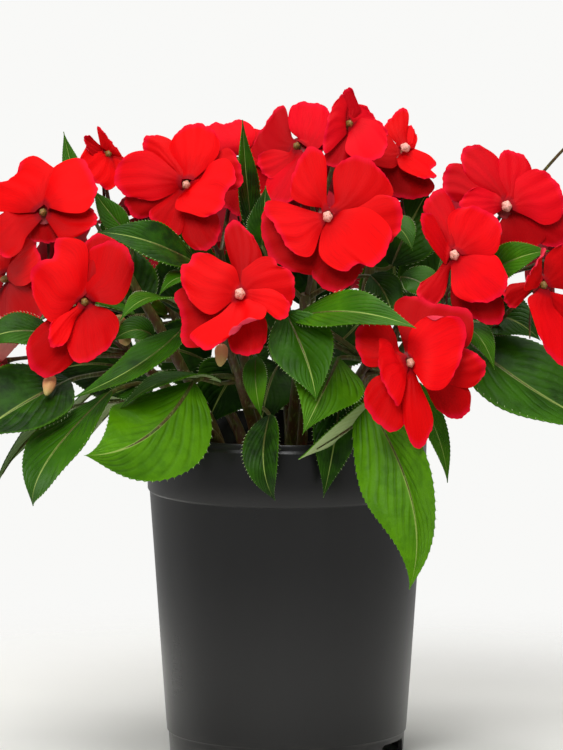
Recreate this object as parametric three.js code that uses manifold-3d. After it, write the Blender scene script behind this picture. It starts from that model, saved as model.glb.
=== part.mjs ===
// A potted New Guinea impatiens: a black nursery pot of potting mix, leafy shoots that stand in
// it, and red five-petalled blooms on long stalks. Millimetres, +Z up. The origin is the middle
// of the pot's foot, and the plant's front, the side it is usually seen from, is -Y.
import * as THREE from 'three';
import { mergeVertices } from 'three/addons/utils/BufferGeometryUtils.js';
import Module from 'manifold-3d';

const wasm = await Module();
wasm.setup();

// Pot: a 150 mm nursery pot with a deep collar, a stacking lip and a foot with four drain arches
const POT_HEIGHT = 176;
const RIM_RADIUS = 75;
const WALL = 1.6;
const COLLAR_BOTTOM = 143;
const COLLAR_TOP = 172;
const BODY_TOP_RADIUS = 73.3;
const BODY_BOTTOM_RADIUS = 64.3;
const FOOT_HEIGHT = 13;
const FOOT_RADIUS = 62.6;
const FLOOR_TOP = 12;
const FLOOR_THICK = 2;
const POT_SIDES = 28;
const ARCHES = 4;
const FIRST_ARCH = -24; // degrees round from +X
const ARCH_WIDTH = 26;
const ARCH_HEIGHT = 10;
const DRAIN_RADIUS = 6;
const DRAIN_RING = 47;

// Potting mix, filled to 15 mm under the rim, with a 0.3 mm gap to what it touches
const GAP = 0.3;
const SOIL_TOP = 160;
const SOIL_SIDES = 16;
const SOIL_LUMP = 1.6;
const HOLE_DEPTH = 16;
const HOLE_PLAY = 1;

// Shoots, leaves and flower stalks
const STEM_RADIUS = 3.2;
const STEM_SIDES = 4;
const STEM_STEPS = 6;
const STALK_HALF = 1.3;
const STALK_THICK = 1.8;
const STALK_FOLD = 0.4;
const PEDICEL_RADIUS = 1.5;
const SPUR_RADIUS = 0.8;
const SPUR_REACH = 26;
const BUD_RADIUS = 3.2;
const BUD_LENGTH = 12;
const BUD_STALK_RADIUS = 0.9;
const BLADE_THICK = 0.9;
const SMALL_LEAF = 43; // a narrower leaf has fewer rows
const TOOTH = 0.07; // share of the half width that the notches of a leaf's edge cut away
const NOTCH_PLACE = 0.35; // where between two rows the notch is

// Blooms
const PETAL_THICK = 0.7;
const PETAL_NOTCH = 0.12; // how deep the edge's middle is cut in
const SHOULDER = 0.58; // how much shorter a petal's sides are than its middle
const PETAL_STACK = 1; // how far each petal's root is over the one before
const ROOT_OUT = 1.5; // how far its root is from the bloom's axis
const PETAL_BELLY = 1.5; // how far a petal swells between its root and its rim
const MIDDLE_U = 0.62; // where it swells most
const RIM_V = [-1, -0.6, 0, 0.6, 1];
const HUB_RADIUS = 3.6;
const HUB_THICK = 4.4;
const COLUMN_RADIUS = 2;

const material = (color, roughness) => new THREE.MeshStandardMaterial({ color, roughness });
const POT_PLASTIC = material(0x2b2b2c, 0.42);
const POTTING_MIX = material(0x2a1d14, 0.95);
const GREEN_SHOOT = material(0x3c6b1c, 0.45);
const RED_PETAL = material(0xd8101a, 0.55);
const FADED_PETAL = material(0xe08a80, 0.6);

const rad = THREE.MathUtils.degToRad;
const point = (xyz) => new THREE.Vector3(...xyz);
// A unit vector from an azimuth, measured from +X towards +Y, and an elevation, in degrees
const heading = (azimuth, elevation) => new THREE.Vector3(
  Math.cos(rad(elevation)) * Math.cos(rad(azimuth)),
  Math.cos(rad(elevation)) * Math.sin(rad(azimuth)),
  Math.sin(rad(elevation)),
);

// A closed geometry as a solid, and a solid as a geometry
function solid(geometry) {
  const bare = geometry.clone();
  bare.deleteAttribute('normal');
  bare.deleteAttribute('uv');
  const merged = mergeVertices(bare, 1e-4);
  return new wasm.Manifold(new wasm.Mesh({
    numProp: 3,
    vertProperties: new Float32Array(merged.attributes.position.array),
    triVerts: new Uint32Array(merged.index.array),
  }));
}

function geometryOf(body) {
  const { numProp, vertProperties, triVerts } = body.getMesh();
  const count = vertProperties.length / numProp;
  const position = new Float32Array(count * 3);
  for (let i = 0; i < count; i += 1) {
    position.set(vertProperties.subarray(i * numProp, i * numProp + 3), i * 3);
  }
  return new THREE.BufferGeometry()
    .setAttribute('position', new THREE.BufferAttribute(position, 3))
    .setIndex(new THREE.BufferAttribute(triVerts, 1));
}

// Everything in a node joined, with any scrap that came loose dropped
function joined(bodies) {
  const whole = bodies.reduce((sum, body) => sum.add(body));
  return whole.decompose().reduce((best, body) => (body.volume() > best.volume() ? body : best));
}

// A closed plate from the points of its upper face, its triangles and its edge loop. down holds,
// for each point, the step to the lower face, so both faces are split alike.
function plate(points, down, triangles, loop) {
  const n = points.length;
  const corners = [...points, ...points.map((p, i) => p.clone().add(down[i]))];
  const index = [];
  for (const [a, b, c] of triangles) index.push(a, b, c, a + n, c + n, b + n);
  loop.forEach((a, i) => {
    const b = loop[(i + 1) % loop.length];
    index.push(a, a + n, b, b, a + n, b + n);
  });
  const geometry = new THREE.BufferGeometry().setFromPoints(corners);
  geometry.setIndex(index);
  const body = solid(geometry);
  if (body.volume() < 0) throw new Error('a plate is inside out');
  return body;
}

// A round rod along a curve
function rod(curve, radius, sides, steps) {
  const ring = new THREE.Shape();
  for (let i = 0; i < sides; i += 1) {
    const a = (2 * Math.PI * i) / sides;
    ring[i ? 'lineTo' : 'moveTo'](radius * Math.cos(a), radius * Math.sin(a));
  }
  return solid(new THREE.ExtrudeGeometry(ring, { steps, bevelEnabled: false, extrudePath: curve }));
}

function turned(profile, sides) {
  const points = profile.map(([r, z]) => new THREE.Vector2(r, z));
  return new THREE.LatheGeometry(points, sides).rotateX(Math.PI / 2);
}

function makePot() {
  const inner = RIM_RADIUS - 1 - WALL;
  const wall = solid(turned([
    [0, FLOOR_TOP - FLOOR_THICK],
    [FOOT_RADIUS - 2, FLOOR_TOP - FLOOR_THICK],
    [FOOT_RADIUS - 2, 0],
    [FOOT_RADIUS, 0],
    [FOOT_RADIUS + 0.9, FOOT_HEIGHT - 0.4],
    [BODY_BOTTOM_RADIUS, FOOT_HEIGHT + 0.4],
    [BODY_TOP_RADIUS, COLLAR_BOTTOM - 0.5],
    [RIM_RADIUS - 0.7, COLLAR_BOTTOM + 0.5],
    [RIM_RADIUS, COLLAR_TOP - 0.5],
    [RIM_RADIUS - 1, COLLAR_TOP + 0.5],
    [RIM_RADIUS - 1.2, POT_HEIGHT],
    [inner, POT_HEIGHT],
    [inner - 0.6, COLLAR_BOTTOM + 2],
    [BODY_BOTTOM_RADIUS - WALL, FLOOR_TOP],
    [0, FLOOR_TOP],
  ], POT_SIDES));
  const arch = new THREE.Shape([
    new THREE.Vector2(-ARCH_WIDTH / 2 - 6, -5),
    new THREE.Vector2(ARCH_WIDTH / 2 + 6, -5),
    new THREE.Vector2(ARCH_WIDTH / 2, ARCH_HEIGHT),
    new THREE.Vector2(-ARCH_WIDTH / 2, ARCH_HEIGHT),
  ]);
  const drain = (x, y) => solid(new THREE.CylinderGeometry(DRAIN_RADIUS, DRAIN_RADIUS, 20, 8)
    .rotateX(Math.PI / 2).translate(x, y, FLOOR_TOP));
  let pot = wall.subtract(drain(0, 0));
  for (let i = 0; i < ARCHES; i += 1) {
    const angle = rad(FIRST_ARCH + (360 / ARCHES) * i);
    const cut = new THREE.ExtrudeGeometry(arch, { depth: 30, bevelEnabled: false });
    cut.rotateX(Math.PI / 2).rotateZ(Math.PI / 2).translate(FOOT_RADIUS - 15, 0, 0).rotateZ(angle);
    pot = pot.subtract(solid(cut));
    pot = pot.subtract(drain(DRAIN_RING * Math.cos(angle), DRAIN_RING * Math.sin(angle)));
  }
  return pot;
}

// The mix's top is lumpy, and a plain hole is left for each shoot
function makeSoil(shoots) {
  const geometry = turned([
    [0, FLOOR_TOP + GAP],
    [BODY_BOTTOM_RADIUS - WALL - 0.8, FLOOR_TOP + GAP],
    [RIM_RADIUS - 4, SOIL_TOP - 3],
    [50, SOIL_TOP - 1],
    [24, SOIL_TOP],
    [0, SOIL_TOP],
  ], SOIL_SIDES);
  const at = geometry.getAttribute('position');
  for (let i = 0; i < at.count; i += 1) {
    const [x, y, z] = [at.getX(i), at.getY(i), at.getZ(i)];
    const inside = Math.hypot(x, y) < RIM_RADIUS - 8 && z > SOIL_TOP - 5;
    if (inside) at.setZ(i, z + SOIL_LUMP * Math.sin(x * 0.31 + 1) * Math.cos(y * 0.27));
  }
  return shoots.reduce((soil, { foot: [x, y] }) => {
    const radius = STEM_RADIUS + HOLE_PLAY;
    const hole = new THREE.CylinderGeometry(radius, radius, HOLE_DEPTH + 20, 6);
    hole.rotateX(Math.PI / 2).translate(x, y, SOIL_TOP + 10 - HOLE_DEPTH / 2);
    return soil.subtract(solid(hole));
  }, solid(geometry));
}

// A petal is given by its rim: points in the bloom's own axes, x right, y up and z out, that go
// round counterclockwise from one side of its root to the other. A plain round petal's rim comes
// from its direction, its length, half its spread, its lift and the curl of its edge.
function roundRim([direction, length, spread, lift, curl], order) {
  return RIM_V.map((v) => {
    const notch = PETAL_NOTCH * Math.exp(-((v / 0.2) ** 2));
    const reach = length * (1 - SHOULDER * v ** 4) * ((1 - notch) / (1 - PETAL_NOTCH));
    const out = reach * Math.cos(rad(lift));
    const rise = reach * Math.sin(rad(lift)) + curl * (reach / length) ** 2;
    const turn = rad(direction + spread * v);
    return [out * Math.cos(turn), out * Math.sin(turn), rise + order * PETAL_STACK];
  });
}

// The bloom's axes: z looks the way it faces, and y is as near to upright as that allows
function bloomFrame({ at, faces }) {
  const z = heading(...faces);
  const x = new THREE.Vector3(0, 0, 1).cross(z).normalize();
  const y = z.clone().cross(x);
  return new THREE.Matrix4().makeBasis(x, y, z).setPosition(...at);
}

// A petal's points are its root, one in its middle that swells out, and its rim
function makePetal(rim, order, frame) {
  const root = new THREE.Vector3(0, 0, order * PETAL_STACK);
  const edge = rim.map(point);
  const loop = [root, ...edge];
  const normal = new THREE.Vector3();
  loop.forEach((p, i) => normal.add(p.clone().cross(loop[(i + 1) % loop.length])));
  normal.normalize();
  const middle = edge.reduce((sum, p) => sum.add(p), new THREE.Vector3()).divideScalar(edge.length);
  root.addScaledVector(new THREE.Vector3(middle.x, middle.y, 0).normalize(), ROOT_OUT);
  middle.lerp(root, 1 - MIDDLE_U).addScaledVector(normal, PETAL_BELLY);
  const points = [root, middle, ...edge].map((p) => p.applyMatrix4(frame));
  const back = normal.transformDirection(frame).multiplyScalar(-PETAL_THICK);
  const last = points.length - 1;
  const fan = edge.slice(1).map((_, i) => [1, i + 2, i + 3]);
  const ring = [0, ...edge.map((_, i) => i + 2)];
  return plate(points, points.map(() => back), [[0, 2, 1], ...fan, [0, 1, last]], ring);
}

function makeBloom(bloom) {
  const frame = bloomFrame(bloom);
  const tall = PETAL_STACK * (bloom.petals.length - 1) + HUB_THICK;
  const hub = new THREE.CylinderGeometry(COLUMN_RADIUS, HUB_RADIUS, tall, 4)
    .rotateX(Math.PI / 2).translate(0, 0, (tall - HUB_THICK) / 2);
  return joined([
    solid(hub.applyMatrix4(frame)),
    ...bloom.petals.map((petal, order) => makePetal(petal, order, frame)),
  ]);
}

// A leaf's midrib runs through three points, and its upper face looks along its heading. t runs
// from base to tip and s from one edge over the rib to the other. fold lifts the edges.
const BASE_POWER = 0.85;
const TIP_POWER = 1.45;
const taper = (t) => t ** BASE_POWER * (1 - t) ** TIP_POWER;
const WIDEST = taper(BASE_POWER / (BASE_POWER + TIP_POWER));
const leafHalfWidth = (width, t) => (0.5 * width * taper(t)) / WIDEST + 0.8 * (1 - t);

function leafFrame({ base, mid, tip, faces }, t) {
  const [b, m, e] = [point(base), point(mid), point(tip)];
  const weigh = (wb, wm, we) => new THREE.Vector3()
    .addScaledVector(b, wb).addScaledVector(m, wm).addScaledVector(e, we);
  const at = weigh(2 * (t - 0.5) * (t - 1), 4 * t * (1 - t), 2 * t * (t - 0.5));
  const along = weigh(4 * t - 3, 4 - 8 * t, 4 * t - 1).normalize();
  const side = heading(...faces).cross(along).normalize();
  return { at, along, side, up: along.clone().cross(side) };
}

function leafPoint(leaf, t, s, narrow = 1) {
  const { at, side, up } = leafFrame(leaf, t);
  const reach = s * narrow * leafHalfWidth(leaf.width, t);
  return at.addScaledVector(side, reach).addScaledVector(up, leaf.fold * Math.abs(reach));
}

// A leaf with its stalk, as one plate of rows from the stem to the tip. Each row is its rib and
// its two edges. Between the blade's rows the edge steps in and out again, as teeth do, but not
// towards the tip.
function makeLeaf(leaf, from, segments) {
  const points = [];
  const down = [];
  const add = (p, back) => {
    points.push(p);
    down.push(back);
    return points.length - 1;
  };
  const { at: base, along, side } = leafFrame(leaf, 0);
  const ahead = base.clone().sub(from).normalize();
  const across = along.clone().cross(side).cross(ahead).normalize();
  const up = ahead.clone().cross(across);
  const stalkEdge = (s) => from.clone().addScaledVector(across, s * STALK_HALF)
    .addScaledVector(up, STALK_FOLD);
  const rows = [{
    rib: add(from, up.clone().multiplyScalar(-STALK_THICK)),
    left: add(stalkEdge(1), up.clone().multiplyScalar(-STALK_THICK)),
    right: add(stalkEdge(-1), up.clone().multiplyScalar(-STALK_THICK)),
  }];
  const bladePoint = (t, s, narrow = 1) => add(
    leafPoint(leaf, t, s, narrow),
    leafFrame(leaf, t).up.multiplyScalar(-BLADE_THICK),
  );
  for (let i = 0; i < segments; i += 1) {
    const t = i / segments;
    const row = { rib: bladePoint(t, 0), left: bladePoint(t, 1), right: bladePoint(t, -1) };
    if (i < segments - 1) {
      const notch = t + NOTCH_PLACE / segments;
      row.leftNotch = bladePoint(notch, 1, 1 - TOOTH);
      row.rightNotch = bladePoint(notch, -1, 1 - TOOTH);
    }
    rows.push(row);
  }
  const tip = bladePoint(1, 0);
  const triangles = [];
  rows.forEach(({ rib, left, right, leftNotch, rightNotch }, i) => {
    const next = rows[i + 1];
    if (!next) {
      triangles.push([rib, tip, left], [rib, right, tip]);
    } else if (leftNotch === undefined) {
      triangles.push([rib, next.rib, left], [next.rib, next.left, left]);
      triangles.push([rib, right, next.rib], [next.rib, right, next.right]);
    } else {
      triangles.push([rib, leftNotch, left], [rib, right, rightNotch]);
      triangles.push([rib, next.rib, leftNotch], [rib, rightNotch, next.rib]);
      triangles.push([next.rib, next.left, leftNotch], [next.rib, rightNotch, next.right]);
    }
  });
  const edge = (key, notch) => rows.flatMap((row) => [row[key], row[notch]])
    .filter((index) => index !== undefined);
  const loop = [rows[0].rib, ...edge('right', 'rightNotch'), tip,
    ...edge('left', 'leftNotch').reverse()];
  return plate(points, down, triangles, loop);
}

// The centre line of a shoot, upright where it stands in the mix
function stemCurve({ foot: [x, y], knee, top }) {
  const points = [
    new THREE.Vector3(x, y, SOIL_TOP - HOLE_DEPTH + GAP),
    new THREE.Vector3(x, y, SOIL_TOP - 3),
    new THREE.Vector3(x, y, SOIL_TOP + 5),
    point(knee),
    point(top),
  ];
  return new THREE.CatmullRomCurve3(points, false, 'centripetal');
}

// The point of a stem nearest to a target, a little below it, where a stalk leaves the stem
function leavesStemAt(curve, target) {
  let best = null;
  for (let i = 20; i <= 58; i += 1) {
    const p = curve.getPointAt(i / 60);
    const distance = p.distanceTo(target) + Math.max(0, p.z - target.z);
    if (!best || distance < best.distance) best = { p, distance };
  }
  return best.p;
}

// A fill leaf is given by its azimuth, the height where it leaves the stem, its length, its
// width and its droop, and becomes a leaf like those placed one by one
function fillLeaf(shoot, [azimuth, height, length, width, droop]) {
  const curve = stemCurve(shoot);
  let from = curve.getPointAt(1);
  for (let i = 58; i >= 18; i -= 1) {
    const p = curve.getPointAt(i / 60);
    if (Math.abs(p.z - height) < Math.abs(from.z - height)) from = p;
  }
  const out = heading(azimuth, 0);
  const base = from.clone().addScaledVector(out, 14).add(new THREE.Vector3(0, 0, 7));
  const chord = heading(azimuth, -droop).multiplyScalar(length);
  const mid = base.clone().addScaledVector(chord, 0.5);
  const tip = base.clone().add(chord);
  mid.z += 0.14 * length;
  return {
    base: base.toArray(), mid: mid.toArray(), tip: tip.toArray(),
    faces: [azimuth, 89 - droop], width, fold: 0.18,
  };
}

function makeShoot(shoot, blooms) {
  const curve = stemCurve(shoot);
  const bodies = [rod(curve, STEM_RADIUS, STEM_SIDES, STEM_STEPS)];
  const fill = (shoot.fill ?? []).map((entry) => fillLeaf(shoot, entry));
  for (const leaf of [...shoot.leaves, ...fill]) {
    const from = leavesStemAt(curve, point(leaf.base));
    bodies.push(makeLeaf(leaf, from, fill.includes(leaf) || leaf.width < SMALL_LEAF ? 3 : 4));
  }
  for (const bloom of blooms) {
    const frame = bloomFrame(bloom);
    const place = (x, y, z) => new THREE.Vector3(x, y, z).applyMatrix4(frame);
    const seat = -HUB_THICK / 2 - 2 * GAP;
    const end = place(0, 0, seat);
    const from = leavesStemAt(curve, place(0, 0, -34));
    const path = new THREE.QuadraticBezierCurve3(from, place(0, 0, -22), end);
    const spur = new THREE.QuadraticBezierCurve3(
      place(0, 0, seat - 2),
      place(0, -0.2 * SPUR_REACH, seat - 0.6 * SPUR_REACH),
      place(0, -SPUR_REACH, seat - 0.7 * SPUR_REACH),
    );
    bodies.push(rod(path, PEDICEL_RADIUS, 3, 3), rod(spur, SPUR_RADIUS, 3, 2));
  }
  for (const [x, y, z, ...faces] of shoot.buds ?? []) {
    const frame = bloomFrame({ at: [x, y, z], faces });
    const place = (depth) => new THREE.Vector3(0, 0, depth).applyMatrix4(frame);
    const bud = new THREE.OctahedronGeometry(1).scale(BUD_RADIUS, BUD_RADIUS, BUD_LENGTH / 2);
    const from = leavesStemAt(curve, place(-30));
    const path = new THREE.QuadraticBezierCurve3(from, place(-20), place(0));
    bodies.push(rod(path, BUD_STALK_RADIUS, 3, 2), solid(bud.applyMatrix4(frame)));
  }
  return joined(bodies);
}

// Five petals as a newly opened bloom has them, turned by a roll and scaled by a size
const openPetals = (roll, size) => [
  [-122, 34, 54, -6, -4], [-58, 34, 54, -6, -4], [158, 32, 54, 4, -3], [22, 32, 54, 4, -3],
  [90, 30, 56, 14, -3],
].map(([direction, length, ...form]) => [direction + roll, length * size, ...form]).map(roundRim);

// Blooms. at is the middle, faces the azimuth and elevation it looks along, and each petal is
// its rim, from the one at the back to the one in front.
const BLOOMS = [
  { name: 'bloom_left_top', shoot: 'upper_left', at: [-128, -24, 293], faces: [-100, 24],
    petals: [
      [[-10, -2, -3], [-14, -9, -5], [7, -14, -4], [3, 0, -2]],
      [[-13, 4, -2], [-21, 0, 1], [-27, -8, 3], [-26, -19, 4], [-15, -27, 6], [-10, -23, 5],
       [-8, -14, 2]],
      [[10, -15, 2], [18, -14, 2], [29, -4, 0], [25, 4, -1], [8, 4, -1]],
      [[3, 26, -2], [-10, 33, -4], [-15, 30, -4], [-18, 22, -3], [-32, 13, -2], [-32, 4, -1],
       [-14, -1, 2]],
      [[4, 1, 6], [14, -2, 7], [23, -1, 5], [28, 13, 1], [25, 20, 0], [16, 33, -3], [2, 26, -2],
       [1, 15, 1]],
    ] },
  { name: 'bloom_left_rear', shoot: 'upper_left', at: [-96, 18, 320], faces: [-72, 36],
    petals: [
      [[-3, 4, 3], [-12, 8, 8], [-11, 0, 4], [-6, -3, 1]],
      [[3, -1, 1], [7, -3, 3], [2, 6, 5], [-5, 13, 9], [-4, 3, 4]],
      [[0, -17, -2], [5, -16, -1], [9, -2, 0], [4, 3, -1]],
      [[-3, 3, 2], [-8, 6, 4], [-16, -4, 1], [-1, -20, -1], [3, -17, 0], [3, -10, 1]],
    ] },
  { name: 'bloom_left_mid', shoot: 'left', at: [-105, -62, 250], faces: [-95, 14],
    petals: [
      [[9, 12, 0], [18, 28, -5], [8, 38, -9], [0, 35, -8], [-1, 6, 0]],
      [[-5, -2, 0], [-13, -5, 0], [-30, -22, 1], [-27, -36, 2], [-20, -40, 2], [-6, -32, 0],
       [1, -12, 0]],
      [[8, -1, 7], [17, -2, 6], [25, 20, 1], [17, 32, -2], [1, 28, -3], [0, 17, -2], [-3, 5, 0]],
      [[-4, -6, 2], [-8, -26, 6], [-2, -33, 9], [13, -25, 6], [18, -10, 3], [14, -5, 3], [5, -2, 2]],
      [[1, 8, 1], [-2, 32, -1], [-16, 33, 0], [-18, 22, 3], [-23, 21, 5], [-28, 16, 5], [-16, -12, 7],
       [-4, -1, 4]],
      [[-4, -3, 5], [-17, -14, 9], [-16, -25, 10], [-10, -24, 10], [-4, -9, 5]],
    ] },
  { name: 'bloom_left_centre', shoot: 'top_left', at: [-52, -48, 309], faces: [-95, 22],
    petals: [
      [[-20, -1, -2], [-33, -5, -6], [-28, -15, -7], [-18, -14, -6], [-1, -6, -2]],
      [[-3, -19, -1], [-1, -28, 0], [8, -35, 1], [14, -33, 0], [18, -20, -3], [13, -10, -2],
       [5, -7, -1]],
      [[-7, -4, 0], [-20, -14, -2], [-3, -26, 1], [0, -13, 0]],
      [[9, 1, -1], [17, -1, -3], [28, 2, -4], [20, 23, -4], [11, 16, -3]],
      [[-5, 17, -2], [-9, 26, -3], [-20, 30, -5], [-24, 28, -4], [-22, 16, -2], [-15, 13, -1],
       [-6, 6, 0]],
      [[-13, 14, 1], [-20, 19, 1], [-32, 18, -1], [-39, 4, -1], [-32, -5, -1], [-26, -6, 0],
       [-18, -8, 1], [-4, -2, 0]],
      [[11, 11, 1], [16, 19, 0], [15, 28, -1], [3, 36, -2], [-10, 25, -1], [-4, 6, 1]],
      [[-5, -9, 6], [-5, -14, 8], [3, -17, 9], [11, -19, 9], [21, -11, 7], [20, -8, 6], [26, 3, 4],
       [20, 15, 3], [13, 13, 3], [7, 4, 2]],
    ] },
  { name: 'bloom_front_left', shoot: 'front_left', at: [-24, -97, 257], faces: [-91, 22],
    petals: [
      [[7, 10, -6], [11, 24, -10], [-5, 45, -15], [-8, 41, -14], [-3, 11, -6]],
      [[-6, 4, -4], [-23, 8, -6], [-34, 4, -7], [-34, 0, -7], [-31, -7, -7], [-29, -25, -5],
       [-13, -24, -3], [-5, -13, -2]],
      [[-5, -6, -1], [-7, -16, -2], [-3, -30, -1], [9, -31, 0], [14, -15, 0], [9, -5, 0]],
      [[8, -5, 0], [26, -5, -3], [25, 15, -3], [20, 16, -3], [17, 21, -3], [12, 22, -3], [1, 14, 0]],
      [[0, 6, 1], [-3, 15, 1], [-10, 19, 0], [-17, 23, 0], [-25, 22, 0], [-27, 17, 1], [-30, 16, 1],
       [-29, 3, 3], [-15, -12, 7], [-3, -3, 3]],
      [[4, -3, 3], [10, -7, 6], [22, -15, 8], [26, -8, 6], [18, 2, 4], [4, 3, 2]],
      [[-4, -4, 3], [-9, -11, 8], [-25, -25, 11], [-17, -32, 13], [-6, -25, 13], [-5, -22, 14],
       [4, -17, 15], [12, -17, 15], [14, -11, 12], [4, -2, 3]],
    ] },
  { name: 'bloom_centre', shoot: 'front_centre', at: [21, -72, 295], faces: [-88, 18],
    petals: [
      [[-5, -7, -4], [-6, -21, -5], [-8, -29, -5], [4, -39, -3], [17, -28, -3], [13, -11, -2]],
      [[-5, 2, -4], [-32, 7, -10], [-29, -20, -8], [-3, -28, -4], [-1, -9, -2]],
      [[26, 6, -2], [35, 14, -5], [17, 35, -7], [5, 28, -5], [4, 8, -1]],
      [[12, -10, 1], [26, -17, 1], [38, -6, -1], [37, 10, -2], [30, 13, -2], [8, 3, 0]],
      [[0, 7, 3], [-3, 36, 1], [-8, 38, 0], [-18, 10, 2], [-11, 6, 3], [-3, 5, 2]],
      [[-3, 2, 2], [-32, 8, 0], [-33, 5, 0], [-29, -2, 2], [-16, -21, 6], [-10, -22, 6], [-3, -7, 4]],
      [[-3, -5, 3], [-4, -22, 6], [8, -30, 8], [16, -26, 8], [22, -28, 8], [33, -8, 4], [20, 5, 2],
       [9, 4, 2]],
    ] },
  { name: 'bloom_top_centre', shoot: 'top_centre', at: [6, -14, 327], faces: [-104, 28],
    petals: [
      [[-4, 6, -1], [-12, 26, -4], [-25, -4, -3], [-17, -9, -2]],
      [[5, -1, -2], [16, 2, -3], [15, 21, -4], [7, 27, -4], [2, 18, -2]],
      [[-4, -3, 0], [-14, -2, 1], [-21, -6, 1], [-13, -19, 3], [-7, -19, 3], [-2, -12, 2]],
      [[-1, -7, 1], [-14, -20, 3], [-11, -33, 5], [6, -31, 5], [11, -24, 4], [8, -11, 2]],
      [[10, -3, 1], [16, 6, 1], [12, 24, 0], [-6, 24, 0], [-5, 9, 1], [1, 4, 1]],
    ] },
  { name: 'bloom_top', shoot: 'top_centre', at: [32, -34, 340], faces: [-72, 34],
    petals: [
      [[-4, -3, -1], [-17, -22, 0], [-12, -25, 0], [7, -22, 0], [11, -14, 0], [4, -4, 0]],
      [[9, 8, 1], [2, 19, 7], [-4, 11, 3], [-1, 5, 1]],
      [[-1, 4, 3], [0, 10, 5], [-2, 14, 6], [-8, 9, 5], [-17, -19, 5], [-2, -6, 2]],
      [[6, -4, 0], [22, -5, -2], [11, 12, 0], [6, 12, 1], [2, 8, 1]],
      [[-1, -5, 2], [-6, -20, 7], [-2, -24, 8], [12, -23, 7], [19, -7, 3], [15, 1, 2], [8, 4, 1]],
    ] },
  { name: 'bloom_top_right', shoot: 'top_right', at: [62, 4, 323], faces: [-72, 44],
    petals: [
      [[-5, -1, -2], [-15, 3, -7], [-13, -15, -12], [1, -24, -10], [12, -22, -8], [15, -19, -7],
       [3, -4, -2]],
      [[-3, 6, 0], [-7, 16, 0], [-14, 3, 0], [-24, -1, -1], [-7, -9, -2], [-2, -5, -1]],
      [[4, 9, 1], [8, 27, 2], [7, 28, 2], [-6, 18, 0], [-2, 4, 0]],
      [[7, 2, 0], [10, 9, 1], [7, 18, 1], [3, 16, 1], [3, 7, 0]],
      [[-5, -5, 1], [-5, -11, 1], [7, -19, 1], [15, -17, 0], [13, -13, 0], [16, -9, 0], [15, -4, 0],
       [4, 4, 0]],
    ] },
  { name: 'bloom_right_top', shoot: 'upper_right', at: [115, -36, 297], faces: [-86, 18],
    petals: [
      [[-1, -4, -1], [-7, -16, -2], [-1, -23, -2], [21, -16, -2], [16, -6, -1]],
      [[3, -3, -1], [11, -15, -3], [29, -20, -4], [36, -13, -4], [35, -4, -3], [18, 1, -1]],
      [[-14, 16, -2], [-21, 24, -3], [-29, 24, -4], [-32, 9, -3], [-14, 1, -1], [-5, 2, 0]],
      [[0, 16, -1], [-3, 28, -3], [-15, 35, -4], [-21, 33, -4], [-20, 17, -1], [-3, 4, 1]],
      [[10, 11, -1], [15, 21, -3], [12, 28, -4], [1, 32, -4], [-4, 16, 0], [0, 6, 1]],
      [[12, -6, 3], [20, -10, 3], [28, -7, 2], [31, -1, 1], [26, 16, -1], [17, 21, -1], [3, 11, 1],
       [3, 5, 2]],
      [[-5, 7, 3], [-16, 10, 5], [-25, 0, 6], [-11, -7, 5], [-4, -3, 3]],
    ] },
  { name: 'bloom_right_mid', shoot: 'upper_right', at: [86, -72, 275], faces: [-78, 20],
    petals: [
      [[0, -5, -3], [0, -28, -4], [10, -33, -3], [18, -37, -2], [24, -35, -2], [26, -25, -2],
       [14, -8, -1]],
      [[-5, -3, -2], [-9, -8, 0], [-21, -18, 5], [-22, -23, 6], [-14, -27, 7], [-9, -24, 6],
       [-2, -8, 0]],
      [[6, 20, -2], [2, 34, -5], [-1, 38, -6], [-12, 29, -5], [-3, 7, -2]],
      [[-2, 7, 0], [-11, 22, 5], [-16, 21, 8], [-18, 16, 9], [-14, 6, 8], [-4, -5, 1]],
      [[10, 0, 3], [22, 0, 3], [26, 20, 0], [14, 27, -1], [0, 22, 0], [0, 5, 1]],
      [[-2, -6, 3], [-2, -22, 7], [12, -27, 8], [26, -20, 6], [23, -1, 3], [5, 2, 2]],
    ] },
  { name: 'bloom_front_right', shoot: 'front_right', at: [63, -111, 224], faces: [-86, 12],
    petals: [
      [[16, 2, -2], [32, 10, -6], [33, 27, -9], [13, 32, -12], [5, 36, -13], [-5, 33, -12],
       [-2, 7, -5]],
      [[5, -5, -3], [16, -25, -6], [24, -29, -6], [29, -27, -6], [32, -16, -5], [24, -6, -3]],
      [[22, -12, -2], [32, -13, -2], [40, -2, -3], [31, 7, -3], [11, 0, -2]],
      [[-5, 6, -1], [-7, 15, -1], [-13, 24, -1], [-27, 17, 0], [-22, -2, 3], [-16, -2, 4], [-12, 2, 4],
       [-7, 1, 2]],
      [[-5, -5, 0], [-19, -8, 1], [-24, -19, 1], [-9, -36, 4], [-5, -34, 4], [-1, -14, 1]],
      [[-1, -6, 2], [-4, -16, 4], [0, -42, 5], [3, -45, 5], [11, -33, 5], [3, -6, 2]],
      [[-7, 4, 4], [-11, 11, 6], [-16, 12, 8], [-15, 5, 8], [-17, -1, 9], [-15, -10, 10], [-7, -23, 11],
       [-3, -13, 8], [-2, -6, 4]],
      [[1, -4, 5], [9, -15, 12], [15, -15, 11], [27, 22, 4], [17, 23, 4], [13, 21, 4],
       [9, 23, 3], [0, 15, 2], [-1, 5, 2]],
    ] },
  { name: 'bloom_right_edge', shoot: 'right', at: [132, -80, 261], faces: [-70, 12],
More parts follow.
